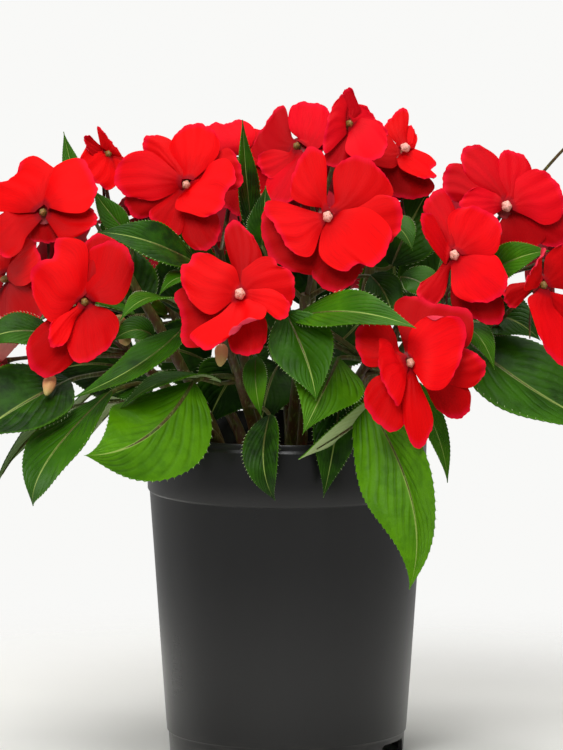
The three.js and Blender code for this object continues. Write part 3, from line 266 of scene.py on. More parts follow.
# Shoots: those that carry the front first
SHOOTS = [
    Shoot("front_left", [-14, -30], [-24, -50, 205], [-34, -62, 236], [
        Leaf([-49, -69, 209], [-73, -101, 184], [-104, -119, 177], [-103, 9], 53, 0.84, -0.3),
        Leaf([-58, -70, 250], [-72, -88, 255], [-86, -102, 245], [-120, 60], 20, 0.5),
        Leaf([-46, -64, 270], [-72, -82, 284], [-98, -86, 289], [-95, 45], 26, 0.1),
        Leaf([-46, -74, 261], [-56, -83, 265], [-66, -91, 257], [-120, 50], 15, 0.35),
        Leaf([-54, -74, 238], [-78, -92, 220], [-111, -97, 204], [-118, 52], 23, 0.32),
        Leaf([-9, -82, 193], [-12, -110, 172], [-6, -102, 151], [-107, -1], 20, 0.1, 0.5),
        Leaf([-16, -84, 224], [-16, -92, 210], [-13, -92, 193], [-100, 20], 12, 0.6),
    ], fill=[[-150, 200, 62, 30, 10]], buds=[[-34, -84, 225, -100, -60]]),
    Shoot("front_right", [18, -30], [30, -52, 195], [44, -66, 222], [
        Leaf([-1, -88, 248], [10, -103, 225], [15, -121, 206], [-99, 41], 33, 0.42, 0.37),
        Leaf([27, -78, 223], [21, -104, 213], [8, -121, 188], [-78, 33], 38, 0.72, -0.34),
        Leaf([4, -78, 244], [34, -108, 250], [66, -128, 244], [-92, 50], 30, 0.52),
        Leaf([50, -78, 199], [30, -88, 186], [6, -96, 172], [92, 55], 28, 1.0),
        Leaf([37, -82, 207], [64, -110, 154], [63, -117, 107], [-119, -9], 44, 1.0, 0.45),
        Leaf([60, -69, 212], [77, -75, 186], [84, -78, 157], [-43, 30], 20, 0.55, 0.1),
        Leaf([28, -70, 206], [25, -80, 180], [19, -84, 150], [-95, 10], 24, 0.15),
    ]),
    Shoot("left", [-34, -14], [-58, -28, 195], [-84, -38, 222], [
        Leaf([-92, -59, 203], [-123, -90, 172], [-132, -87, 146], [-142, 12], 44, 0.4, 0.1),
        Leaf([-114, -50, 208], [-141, -66, 195], [-166, -80, 179], [-100, 50], 52, 0.12),
        Leaf([-118, -28, 190], [-140, -44, 172], [-154, -60, 150], [150, 40], 22, 0.1),
        Leaf([-122, -40, 230], [-144, -48, 233], [-164, -52, 225], [-100, 48], 24, 0.3),
        Leaf([-70, -44, 230], [-80, -50, 234], [-92, -54, 228], [-110, 40], 18, 0.45),
        Leaf([-80, -24, 208], [-102, -16, 212], [-128, -10, 206], [-95, 18], 37, 0.12),
        Leaf([-72, -42, 207], [-83, -48, 203], [-94, -54, 200], [-100, 30], 23, 0.2),
    ], buds=[[-88, -44, 238, -95, 20], [-85, -46, 229, -80, -20], [-124, -66, 207, -110, -50]]),
    Shoot("upper_left", [-36, 8], [-60, 4, 215], [-86, 0, 260], [
        Leaf([-84, -10, 281], [-94, -8, 292], [-103, -4, 304], [-95, 24], 13, 0.5),
        Leaf([-108, 22, 294], [-115, 32, 312], [-120, 40, 331], [-95, 10], 11, 0.6),
        Leaf([-80, 14, 230], [-92, 24, 256], [-98, 30, 288], [-95, 20], 42, 0.15),
    ], fill=[[175, 205, 80, 38, 38], [164, 228, 66, 32, 10]]),
    Shoot("right", [36, -12], [66, -26, 190], [98, -38, 220], [
        Leaf([89, -49, 233], [130, -70, 204], [172, -78, 183], [-69, 60], 58, 0.4, 0.12),
        Leaf([92, -64, 238], [101, -74, 232], [108, -82, 217], [-62, 34], 16, 0.5),
        Leaf([104, -36, 238], [118, -46, 239], [133, -54, 229], [-90, 38], 28, 0.25),
    ], fill=[[-10, 202, 78, 38, 14], [12, 200, 72, 36, 16]]),
    Shoot("upper_right", [34, 8], [56, -8, 210], [84, -24, 250], [
        Leaf([104, -44, 262], [120, -54, 272], [137, -62, 277], [-82, 36], 20, 0.45),
        Leaf([60, -50, 262], [72, -56, 258], [80, -66, 246], [-90, 50], 20, 0.5),
        Leaf([74, 6, 236], [82, 18, 260], [88, 24, 290], [-85, 20], 42, 0.2),
    ], buds=[[152, -14, 331, -20, 40]]),
    Shoot("front_centre", [2, -14], [6, -28, 210], [10, -42, 252], [
        Leaf([-6, -44, 230], [-18, -52, 246], [-34, -56, 262], [-95, 30], 34, 0.12),
        Leaf([22, -44, 222], [36, -54, 236], [50, -58, 254], [-85, 30], 34, 0.12),
        Leaf([-13, -44, 278], [-12, -44, 292], [-11, -40, 309], [-90, 10], 17, 0.3),
        Leaf([44, -44, 262], [52, -50, 252], [56, -58, 238], [-80, 30], 20, 0.3),
    ]),
    Shoot("top_centre", [8, 6], [12, 4, 230], [16, 0, 286], [
        Leaf([-17, -30, 278], [-21, -34, 312], [-23, -32, 343], [-40, 5], 17, 0.12),
    ]),
    Shoot("top_left", [-14, 4], [-24, -2, 220], [-36, -8, 272], [
        Leaf([-25, 9, 206], [-34, 15, 194], [-44, 19, 172], [-95, 15], 34, 0.15),
    ]),
    Shoot("top_right", [20, -6], [36, -10, 225], [48, -8, 278], [
        Leaf([52, -34, 288], [60, -42, 286], [66, -52, 276], [-70, 40], 18, 0.35),
        Leaf([56, 6, 262], [66, 10, 284], [76, 12, 302], [-85, 20], 34, 0.15),
    ]),
    Shoot("rear_left", [-24, 28], [-46, 46, 205], [-68, 62, 242], [
        Leaf([-54, 46, 230], [-52, 36, 256], [-54, 30, 288], [-95, 20], 42, 0.15),
        Leaf([-42, 38, 206], [-60, 32, 214], [-82, 26, 216], [-90, 12], 37, 0.1),
    ], fill=[[150, 192, 84, 38, 32], [124, 186, 84, 38, 46], [162, 218, 74, 34, 16],
            [137, 222, 70, 32, 14], [112, 214, 70, 35, 28], [128, 236, 38, 18, -6]]),
    Shoot("rear", [2, 34], [0, 60, 205], [0, 78, 242], [
        Leaf([10, 60, 234], [16, 48, 260], [22, 40, 292], [-85, 20], 42, 0.15),
        Leaf([-12, 60, 232], [-18, 50, 258], [-22, 44, 290], [-95, 20], 40, 0.15),
        Leaf([-4, 46, 204], [-10, 36, 192], [-14, 28, 170], [-90, 20], 36, 0.15),
        Leaf([-8, 52, 212], [-22, 50, 215], [-38, 50, 216], [-90, 12], 36, 0.1),
    ], fill=[[98, 186, 80, 38, 48], [74, 188, 80, 38, 44], [92, 218, 66, 34, 40], [66, 214, 66, 34, 34],
            [102, 242, 34, 18, -58]]),
    Shoot("rear_right", [26, 26], [50, 46, 205], [72, 58, 242], [
        Leaf([60, 42, 230], [58, 34, 256], [57, 28, 286], [-85, 20], 40, 0.15),
    ], fill=[[50, 190, 84, 38, 12], [26, 196, 80, 38, 20], [40, 210, 72, 34, 24], [14, 218, 70, 34, 18],
            [62, 218, 66, 32, 16], [-2, 240, 38, 18, -18]]),
]

# Shapes, in millimetres

def unit(vectors):
    """Vectors, one or a row of them, at length 1."""
    return vectors / np.linalg.norm(vectors, axis=-1, keepdims=True)


def heading(azimuth, elevation):
    """A unit vector from an azimuth, from +X towards +Y, and an elevation, in degrees."""
    a, e = math.radians(azimuth), math.radians(elevation)
    return np.array([math.cos(e) * math.cos(a), math.cos(e) * math.sin(a), math.sin(e)])


def smooth(x, low, high):
    """0 below low, 1 above high and an even rise between them."""
    t = np.clip((x - low) / (high - low), 0, 1)
    return t * t * (3 - 2 * t)


def arc(start, bend, end, count):
    """Points on the curve from start to end that is drawn towards bend."""
    t = np.linspace(0, 1, count)[:, None]
    return (1 - t) ** 2 * np.array(start) + 2 * t * (1 - t) * np.array(bend) + t ** 2 * np.array(end)


SOIL_TOP = 160
HOLE_DEPTH = 16
GAP = 0.3
STEM_PARTS = 60  # a stalk leaves its stem at the end of one of these parts
STALK_PLACES = range(20, 59)  # the parts that a stalk may leave from
FILL_PLACES = [60, *range(58, 17, -1)]  # the parts that a fill leaf may sit on, from the top down
CURVE_STEPS = 50


class StemLine:
    """The centre line of a shoot, upright where it stands in the mix. at(share) is a point."""

    def __init__(self, shoot):
        x, y = shoot.foot
        knots = [(x, y, SOIL_TOP - HOLE_DEPTH + GAP), (x, y, SOIL_TOP - 3), (x, y, SOIL_TOP + 5),
                 shoot.knee, shoot.top]
        knots = [np.array(k, float) for k in knots]
        knots = [2 * knots[0] - knots[1], *knots, 2 * knots[-1] - knots[-2]]
        t = np.linspace(0, 1, CURVE_STEPS)[:, None]
        runs = []
        for a, b, c, d in zip(knots, knots[1:], knots[2:], knots[3:]):
            ab, bc, cd = (np.linalg.norm(q - p) ** 0.5 for p, q in ((a, b), (b, c), (c, d)))
            leaving = ((b - a) / ab - (c - a) / (ab + bc) + (c - b) / bc) * bc
            reaching = ((c - b) / bc - (d - b) / (bc + cd) + (d - c) / cd) * bc
            runs.append(b + leaving * t + (3 * (c - b) - 2 * leaving - reaching) * t ** 2
                        + (2 * (b - c) + leaving + reaching) * t ** 3)
        self.points = np.concatenate(runs)
        steps = np.linalg.norm(np.diff(self.points, axis=0), axis=1)
        self.run = np.concatenate([[0], np.cumsum(steps)])
        self.length = self.run[-1]

    def at(self, share):
        """The point, or row of points, that far along."""
        run = np.asarray(share) * self.length
        return np.stack([np.interp(run, self.run, self.points[:, k]) for k in range(3)], axis=-1)

    def leaves_at(self, target):
        """(share, point) nearest to a target, a little below it, where a stalk leaves the stem."""
        share = min(STALK_PLACES, key=lambda i: self.far(self.at(i / STEM_PARTS), target)) / STEM_PARTS
        return share, self.at(share)

    @staticmethod
    def far(point, target):
        """How badly a stalk to a target starts here: its distance, and more if it is higher up."""
        return np.linalg.norm(point - target) + max(0, point[2] - target[2])

    def at_height(self, height):
        """The point nearest to a height."""
        return min((self.at(i / STEM_PARTS) for i in FILL_PLACES), key=lambda p: abs(p[2] - height))


def bloom_frame(at, faces):
    """(x, y, z, middle) of a bloom. z looks the way it faces, and y is as near to upright as it can."""
    z = heading(*faces)
    x = unit(np.cross((0, 0, 1), z))
    return x, np.cross(z, x), z, np.array(at, float)


def placed(points, axes):
    """Points in a bloom's own axes, taken to the plant's."""
    x, y, z, at = axes
    points = np.atleast_2d(np.asarray(points, float))
    return points[:, :1] * x + points[:, 1:2] * y + points[:, 2:3] * z + at


RIM_STEPS = 81
SIDE_SHARE = 0.3  # how much of a petal's rim is one of its sides
CLAW_HALF = 2.4  # half its width at its root
CREASES = [(0, 0.9, 0.14), (-0.42, 0.45, 0.1), (0.4, 0.45, 0.1)]  # place, depth and width
PETAL_SWELL = 0.1  # how high its face bulges, as a share of its size
PETAL_TILT = (-0.6, 1.2)  # the least and the most that one side of it is lifted
RAGGED_EDGE = 0.3  # how far its edge wavers
TURN = 6.28  # a full turn, for waves that may start anywhere in it


def rim_points(rim, v):
    """Points of the smooth curve through a rim, at v from -1 at its start to 1 at its end."""
    steps = np.linalg.norm(np.diff(rim, axis=0), axis=1) ** 0.8
    knots = np.concatenate([[0], np.cumsum(steps)])
    slope = np.gradient(rim, knots, axis=0)
    run = (v + 1) / 2 * knots[-1]
    i = np.clip(np.searchsorted(knots, run, side="right") - 1, 0, len(rim) - 2)
    gap = (knots[i + 1] - knots[i])[:, None]
    t = (run - knots[i])[:, None] / gap
    return (rim[i] * (1 + 2 * t) * (1 - t) ** 2 + rim[i + 1] * (3 - 2 * t) * t ** 2
            + gap * t * (1 - t) * (slope[i] * (1 - t) - slope[i + 1] * t))


def along_path(path, share):
    """Points that far along a path of points, by its length."""
    run = np.concatenate([[0], np.cumsum(np.linalg.norm(np.diff(path, axis=0), axis=1))])
    return np.stack([np.interp(share * run[-1], run, path[:, k]) for k in range(3)], axis=-1)


def petal_points(petal, order, u, v, grain, sizes):
    """A petal's face. u runs from the bloom's middle to the rim and v from side to side."""
    rim = np.array(petal, float)
    middle = rim.mean(axis=0)
    root = ROOT_OUT * unit(middle * (1, 1, 0)) + (0, 0, order * PETAL_STACK)
    ring = np.concatenate([[root], rim])
    normal = unit(np.cross(ring, np.roll(ring, -1, axis=0)).sum(axis=0))
    line = rim_points(rim, np.linspace(-1, 1, RIM_STEPS))
    side = round(RIM_STEPS * SIDE_SHARE)
    one, other = line[side], line[-1 - side]
    claw = CLAW_HALF * unit(np.cross(normal, middle - root))
    one_side = along_path(np.concatenate([[root - claw], line[:side + 1]]), u)
    other_side = along_path(np.concatenate([[root + claw], line[:-2 - side:-1]]), u)
    edge = along_path(line[side:-side], (v + 1) / 2)
    u, v = u[:, None], v[:, None]
    right = (v + 1) / 2
    face = one_side * (1 - right) + other_side * right + u * (edge - one * (1 - right) - other * right)
    size = np.linalg.norm(middle - root)
    turns = [grain.uniform(0, TURN) for _ in range(5)]
    swell = PETAL_SWELL * size * np.sin(math.pi * u ** 0.8) * (1 - v ** 2)
    ruffle = sizes.petal_ruffle / MM * u ** 3 * (np.sin(5.5 * v + turns[0]) + 0.5 * np.sin(13 * v + turns[1]))
    tilt = grain.uniform(*PETAL_TILT) * u ** 2 * np.sin(2 * v + turns[2])
    groove = sum(deep * np.exp(-(((v - place) / wide) ** 2)) for place, deep, wide in CREASES) * u * (1.1 - u)
    ragged = RAGGED_EDGE * u ** 4 * (np.sin(11 * v + turns[3]) + 0.6 * np.sin(27 * v + turns[4]))
    return face + normal * (swell + ruffle + tilt - groove) + unit(edge - root) * ragged


BASE_POWER, TIP_POWER = 0.85, 1.45  # how blunt a blade's base is, and how drawn out its tip


def taper(t):
    """How a blade's width goes from base to tip."""
    return t ** BASE_POWER * (1 - t) ** TIP_POWER


WIDEST = taper(BASE_POWER / (BASE_POWER + TIP_POWER))


def half_width(width, t):
    """Half a blade's width at t."""
    return 0.5 * width * taper(t) / WIDEST + 0.8 * (1 - t)


def leaf_frame(shape, t):
    """(points, along, side, up) of a leaf's rib at an array of t, from base to tip."""
    base, mid, tip = (np.array(point, float) for point in (shape.base, shape.mid, shape.tip))
    t = np.asarray(t, float)[:, None]
    at = 2 * (t - 0.5) * (t - 1) * base + 4 * t * (1 - t) * mid + 2 * t * (t - 0.5) * tip
    along = unit((4 * t - 3) * base + (4 - 8 * t) * mid + (4 * t - 1) * tip)
    side = unit(np.cross(heading(*shape.faces), along))
    return at, along, side, np.cross(along, side)


FILL_TONES = (0.3, 0.7)
FILL_STALK_OUT, FILL_STALK_UP = 14, 7  # from the stem to the blade
FILL_ARCH = 0.14  # how far the blade's middle is raised, as a share of its length


def fill_leaf(line, entry, tone):
    """A leaf given by its azimuth, height on the stem, length, width and droop, and its tone."""
    azimuth, height, length, width, droop = entry
    base = line.at_height(height) + FILL_STALK_OUT * heading(azimuth, 0) + (0, 0, FILL_STALK_UP)
    chord = heading(azimuth, -droop) * length
    mid = base + chord / 2 + (0, 0, FILL_ARCH * length)
    return Leaf(base, mid, base + chord, [azimuth, 89 - droop], width, tone)


VEIN_PAIRS = 8
VEIN_SLANT = 0.6  # how far a vein runs on towards the tip, as a share of the blade
VEIN_CURVE = 0.8
TEETH = 28  # on each side
TOOTH_LEAN = 0.78  # where a tooth's tip is from the notch before it to the one after it
BLADE_ACROSS = 20
TEETH_FROM = 0.88  # how far out across the blade they start
RIB_SUNK = 0.5
EDGE_WAVE = 0.045  # height of the edge's waves, as a share of half the blade's width


def blade_row(along):
    """The place along the blade, t, of the rows of a sheet: two a tooth, its notch and its tip."""
    row = np.round(along * TEETH * 2)
    return np.minimum((row // 2 + row % 2 * TOOTH_LEAN) / TEETH, 1)


def blade_points(shape, t, s, grain, sizes):
    """A leaf blade's upper face: toothed edge, sunken veins, quilted between them and a wavy edge."""
    at, _, side, up = leaf_frame(shape, t)
    half = half_width(shape.width, t)
    rim = smooth(np.abs(s), TEETH_FROM, 1)
    in_notch = np.round(t * TEETH) == t * TEETH
    depth = sizes.tooth_depth / MM * np.minimum(1, half / 12)
    reach = s * (half - rim * depth * in_notch)
    run = (t - VEIN_SLANT * np.abs(s) ** VEIN_CURVE) * VEIN_PAIRS
    quilt = np.abs(np.sin(np.pi * run)) ** 0.7 * smooth(np.abs(s), 0.02, 0.3)
    quilt *= (1 - smooth(np.abs(s), 0.72, 1)) * smooth(t, 0, 0.12) * (1 - smooth(t, 0.85, 1))
    lift = shape.fold * np.abs(reach) * (1.12 - 0.3 * np.abs(s))
    lift += sizes.vein_relief / MM * half / 20 * quilt
    lift -= RIB_SUNK * np.exp(-((s / 0.06) ** 2)) * smooth(t, 0, 0.1) * (1 - t)
    for side_sign in (-1, 1):
        wave = math.sin(grain.uniform(0, TURN)) + np.sin(t * grain.uniform(8, 14) + grain.uniform(0, TURN))
        lift += np.where(s * side_sign > 0, 1, 0) * EDGE_WAVE * half * s ** 2 * wave
    return at + side * reach[:, None] + up * lift[:, None]


# Modelling

def clear_selection():
    """Leaves edit mode and deselects everything."""
    if bpy.context.object and bpy.context.object.mode != "OBJECT":
        bpy.ops.object.mode_set(mode="OBJECT")
    bpy.ops.object.select_all(action="DESELECT")


def pick(*objects):
    """Selects objects and makes the first one active."""
    clear_selection()
    for obj in objects:
        obj.select_set(True)
    bpy.context.view_layer.objects.active = objects[0]


def new_object(name, data):
    """An object of this data, in the scene."""
    obj = bpy.data.objects.new(name, data)
    bpy.context.scene.collection.objects.link(obj)
    return obj


def joined(name, objects):
    """The objects as one, by this name."""
    pick(*objects)
    if len(objects) > 1:
        bpy.ops.object.join()
    whole = bpy.context.object
    whole.name = whole.data.name = name
    return whole


def apply_modifier(obj, kind, **settings):
    """Adds a modifier with these settings and applies it."""
    step = obj.modifiers.new("step", kind)
    for key, value in settings.items():
        setattr(step, key, value)
    pick(obj)
    bpy.ops.object.modifier_apply(modifier=step.name)


def smooth_shading(obj, degrees):
    """Smooth faces, with an edge kept where they meet more sharply than this."""
    pick(obj)
    bpy.ops.object.shade_smooth_by_angle(angle=math.radians(degrees))


def blank_sheet(name, across, along):
    """A flat grid one unit square with its map, to be copied and bent into petals or blades."""
    clear_selection()
    bpy.ops.mesh.primitive_grid_add(x_subdivisions=across, y_subdivisions=along, size=1)
    blank = bpy.context.object
    blank.name = name
    flat = np.empty(len(blank.data.vertices) * 3)
    blank.data.vertices.foreach_get("co", flat)
    flat = flat.reshape(-1, 3)
    return blank, -2 * flat[:, 0], flat[:, 1] + 0.5


def set_tone(mesh, values, name="tone"):
    """Writes a number that the finishes read, one for all points or one for each."""
    carried = mesh.attributes.new(name, "FLOAT", "POINT")
    carried.data.foreach_set("value", np.broadcast_to(values, len(mesh.vertices)).astype(np.float32))


def blank_ball(name, segments, rings):
    """(ball, points) of a ball one unit in radius, to be bent into a bud or a column."""
    clear_selection()
    bpy.ops.mesh.primitive_uv_sphere_add(segments=segments, ring_count=rings, radius=1)
    ball = bpy.context.object
    ball.name = name
    return ball, np.array([v.co for v in ball.data.vertices])


def move_points(mesh, points):
    """Moves a mesh's points to these, in millimetres."""
    mesh.vertices.foreach_set("co", (points * MM).ravel())


def bent_copy(blank, points, tone):
    """A copy of a blank sheet with its points moved."""
    mesh = blank.data.copy()
    move_points(mesh, points)
    set_tone(mesh, tone)
    return new_object("sheet", mesh)


def tubes(runs, sides, tone):
    """Round rods along lines of points, each point with its own radius, as one closed mesh."""
    curve = bpy.data.curves.new("tubes", "CURVE")
    curve.dimensions = "3D"
    curve.bevel_depth = MM
    curve.bevel_resolution = (sides - 4) // 2
    curve.use_fill_caps = True
    for points, radii in runs:
        spline = curve.splines.new("POLY")
        spline.points.add(len(points) - 1)
        for knot, place, radius in zip(spline.points, points, radii):
            knot.co = (*(place * MM), 1)
            knot.radius = radius
    pick(new_object("tubes", curve))
    bpy.ops.object.convert(target="MESH")
    made = bpy.context.object
    set_tone(made.data, tone)
    return made


def turn_up(name, sides, rings, closed):
    """A turned shape raised ring by ring from a circle. rings are radius and height in
    millimetres. The last ring is joined to the first if closed, else both are filled."""
    clear_selection()
    radius, height = rings[0]
    bpy.ops.mesh.primitive_circle_add(vertices=sides, radius=radius * MM, location=(0, 0, height * MM))
    obj = bpy.context.object
    obj.name = obj.data.name = name
    bpy.ops.object.transform_apply(location=True)
    bpy.ops.object.mode_set(mode="EDIT")
    bpy.ops.mesh.select_all(action="SELECT")
    for next_radius, next_height in rings[1:]:
        rise = (0, 0, (next_height - height) * MM)
        bpy.ops.mesh.extrude_edges_move(TRANSFORM_OT_translate={"value": rise})
        grow = next_radius / radius
        bpy.ops.transform.resize(value=(grow, grow, 1), center_override=(0, 0, next_height * MM))
        radius, height = next_radius, next_height
    if not closed:
        bpy.ops.mesh.edge_face_add()
    bpy.ops.object.mode_set(mode="OBJECT")
    for index, vertex in enumerate(obj.data.vertices):
        vertex.select = index < sides or (closed and index >= len(obj.data.vertices) - sides)
    bpy.ops.object.mode_set(mode="EDIT")
    bpy.ops.mesh.select_mode(type="VERT")
    if closed:
        bpy.ops.mesh.bridge_edge_loops()
    else:
        bpy.ops.mesh.edge_face_add()
    bpy.ops.mesh.select_all(action="SELECT")
    bpy.ops.mesh.normals_make_consistent(inside=False)
    bpy.ops.object.mode_set(mode="OBJECT")
    return obj


def cut_away(obj, cutter):
    """Cuts another solid out of obj and removes it."""
    apply_modifier(obj, "BOOLEAN", operation="DIFFERENCE", solver="EXACT", object=cutter)
    bpy.data.objects.remove(cutter)


def wear(obj, finishes, index=0):
    """Gives an object its finishes, with all its faces in the one of that index."""
    obj.data.materials.clear()
    for finish in finishes:
        obj.data.materials.append(finish)
    obj.data.polygons.foreach_set("material_index", [index] * len(obj.data.polygons))


def finish_piece(obj, slot, *nodes):
    """Gives a piece its body and hides the nodes it stands for. slot is not used."""
    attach(obj, "root")
    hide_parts(*nodes)


# Finishes

def tint(red, green, blue):
    """A colour of the picture, 0 to 255, as the linear light that the shaders take."""
    parts = [c / 255 for c in (red, green, blue)]
    return tuple(c / 12.92 if c <= 0.04045 else ((c + 0.055) / 1.055) ** 2.4 for c in parts)


class Amount:
    """A number that a socket carries. Sums with it add Math nodes."""

    def __init__(self, paint, socket):
        self.paint, self.socket = paint, socket

    def _math(self, operation, *values):
        made = self.paint.node("ShaderNodeMath", {"operation": operation}, dict(enumerate(values)))
        return Amount(self.paint, made.outputs[0])

    def __add__(self, other):
        return self._math("ADD", self, other)

    __radd__ = __add__

    def __sub__(self, other):
        return self._math("SUBTRACT", self, other)

    def __rsub__(self, other):
        return self._math("SUBTRACT", other, self)

    def __mul__(self, other):
        return self._math("MULTIPLY", self, other)

    __rmul__ = __mul__

    def __abs__(self):
        return self._math("ABSOLUTE", self)

    def power(self, exponent):
        """This number raised to an exponent."""
        return self._math("POWER", self, exponent)

    def fraction(self):
        """What is left of it over a whole number."""
        return self._math("FRACT", self)

    def smooth(self, low, high):
        """0 below low, 1 above high and an even rise between them."""
        made = self.paint.node("ShaderNodeMapRange", {"interpolation_type": "SMOOTHSTEP"},
                               {"Value": self, "From Min": low, "From Max": high})
        return Amount(self.paint, made.outputs["Result"])


class Graph:
    """A node tree in the making."""

    def __init__(self, tree):
        self.tree = tree

    def node(self, kind, settings, sockets):
        """A node of a kind, with its settings and the values or links of its sockets."""
        made = self.tree.nodes.new(kind)
        for key, value in settings.items():
            setattr(made, key, value)
        for key, value in sockets.items():
            self.feed(made.inputs[key], value)
        return made

    def feed(self, socket, value):
        """Links a socket, or sets its value."""
        if isinstance(value, Amount):
            value = value.socket
        if isinstance(value, bpy.types.NodeSocket):
            self.tree.links.new(value, socket)
        elif socket.type == "RGBA" and len(value) == 3:
            socket.default_value = (*value, 1)
        else:
            socket.default_value = value


class Paint(Graph):
    """A finish in the making: a Principled shader and the nodes behind it."""

    def __init__(self, name, **constants):
        self.material = bpy.data.materials.new(name)
        self.material.use_nodes = True
        super().__init__(self.material.node_tree)
        self.tree.nodes.clear()
        sockets = {key.replace("_", " "): value for key, value in constants.items()}
        self.shader = self.node("ShaderNodeBsdfPrincipled", {}, sockets)
        self.output = self.node("ShaderNodeOutputMaterial", {}, {"Surface": self.shader.outputs[0]})

    def place(self):
        """The point of the surface, in metres."""
        return self.node("ShaderNodeTexCoord", {}, {}).outputs["Object"]

    def map(self):
        """(across, along) of a sheet's own map, each from 0 to 1."""
        where = self.node("ShaderNodeUVMap", {"uv_map": "UVMap"}, {}).outputs[0]
        parts = self.node("ShaderNodeSeparateXYZ", {}, {0: where})
        return Amount(self, parts.outputs[0]), Amount(self, parts.outputs[1])

    def carried(self, name):
        """A number that the piece's points carry."""
        made = self.node("ShaderNodeAttribute", {"attribute_name": name}, {})
        return Amount(self, made.outputs["Fac"])

    def tone(self):
        """How far the point goes towards the piece's second colour."""
        return self.carried("tone")

    def vector(self, x, y, z):
        """A vector of three numbers."""
        return self.node("ShaderNodeCombineXYZ", {}, {0: x, 1: y, 2: z}).outputs[0]

    def stretched(self, vector, scale):
        """A vector with its parts scaled."""
        made = self.node("ShaderNodeVectorMath", {"operation": "MULTIPLY"}, {0: vector, 1: scale})
        return made.outputs[0]

    def grain(self, vector, scale, detail=2.0, roughness=0.5):
        """Noise, 0 to 1."""
        made = self.node("ShaderNodeTexNoise", {"noise_dimensions": "3D"},
                         {"Vector": vector, "Scale": scale, "Detail": detail, "Roughness": roughness})
        return Amount(self, made.outputs["Fac"])

    def cells(self, vector, scale):
        """The distance to the nearest of scattered points, 0 to about 1."""
        made = self.node("ShaderNodeTexVoronoi", {}, {"Vector": vector, "Scale": scale})
        return Amount(self, made.outputs["Distance"])

    def mix(self, share, one, other, blend="MIX"):
        """One colour turning into another."""
        made = self.node("ShaderNodeMix", {"data_type": "RGBA", "blend_type": blend},
                         {0: share, 6: one, 7: other})
        return made.outputs[2]

    def relief(self, height, distance, strength=1.0):
        """Feeds the shader's normal from a height of 0 to 1, distance metres deep."""
        made = self.node("ShaderNodeBump", {}, {"Height": height, "Distance": distance, "Strength": strength})
        self.feed(self.shader.inputs["Normal"], made.outputs[0])

    def done(self, **sockets):
        """Feeds the shader and returns the finished material."""
        for key, value in sockets.items():
            self.feed(self.shader.inputs[key.replace("_", " ")], value)
        return self.material


def leaf_veins(paint):
    """(across from the rib, along, vein, rib) of a blade's map. vein and rib are 1 on the lines."""
    across, along = paint.map()
    side = abs(across * 2 - 1)
    wander = paint.grain(paint.place(), 45, 1)
    run = (along - side.power(VEIN_CURVE) * VEIN_SLANT) * VEIN_PAIRS + (wander - 0.5) * 0.8
    near = abs((run + 0.5).fraction() - 0.5)
    vein = (1 - near.smooth(0.0, 0.3)) * (1 - side.smooth(0.8, 0.98)) * side.smooth(0.0, 0.12)
    vein = vein * wander.smooth(0.3, 0.7)
    rib = 1 - side.smooth(0.012, 0.05)
    return side, along, vein, rib


def leaf_upper_finish(colours):
    """Waxy green, with painted shade in the sunken veins, and a pale rib that reddens towards the stalk."""
    paint = Paint("leaf_upper", Specular_IOR_Level=0.14)
    side, along, vein, rib = leaf_veins(paint)
    tone = paint.tone()
    cloud = paint.grain(paint.place(), 42, 3)
    shade = tone + (cloud - 0.5) * 1.1 + (along.smooth(0.0, 0.35) - 1) * 0.2
    green = paint.mix(shade.smooth(0.0, 0.5), colours.leaf_dark, colours.leaf_mid)
    green = paint.mix(shade.smooth(0.4, 1.0), green, colours.leaf_light)
    patches = paint.grain(paint.place(), 120, 3, 0.6)
    green = paint.mix(patches.smooth(0.4, 0.65) * 0.4, green, colours.leaf_mid)
    # painted shade in the sunken veins
    green = paint.mix(vein * 0.3, green, colours.leaf_dark)
    green = paint.mix(side.smooth(0.9, 1.0) * 0.35, green, colours.leaf_light)
    rib_colour = paint.mix(along.smooth(0.05, 0.45), colours.rib_base, colours.rib_tip)
    green = paint.mix(rib * 0.75, green, rib_colour)
    cells = paint.cells(paint.place(), 620)
    paint.relief(cells * 0.15 + vein * -0.8 + cloud * 0.6, 0.001, 0.5)
    rough = 0.4 + cloud * 0.16 + rib * 0.15
    return paint.done(Base_Color=green, Roughness=rough)


def leaf_under_finish(colours):
    """Paler and duller, with raised veins."""
    paint = Paint("leaf_under", Specular_IOR_Level=0.3)
    side, along, vein, rib = leaf_veins(paint)
    tone = paint.tone()
    cloud = paint.grain(paint.place(), 90, 3)
    green = paint.mix(tone, colours.under_dark, colours.under_light)
    green = paint.mix(vein * 0.4, green, colours.rib_tip)
    green = paint.mix(rib * 0.8, green, colours.rib_tip)
    green = paint.mix(side.smooth(0.8, 1.0) * 0.3, green, colours.leaf_mid)
    paint.relief(vein + cloud * 0.5, 0.0005, 0.5)
    return paint.done(Base_Color=green, Roughness=0.55 + cloud * 0.15)


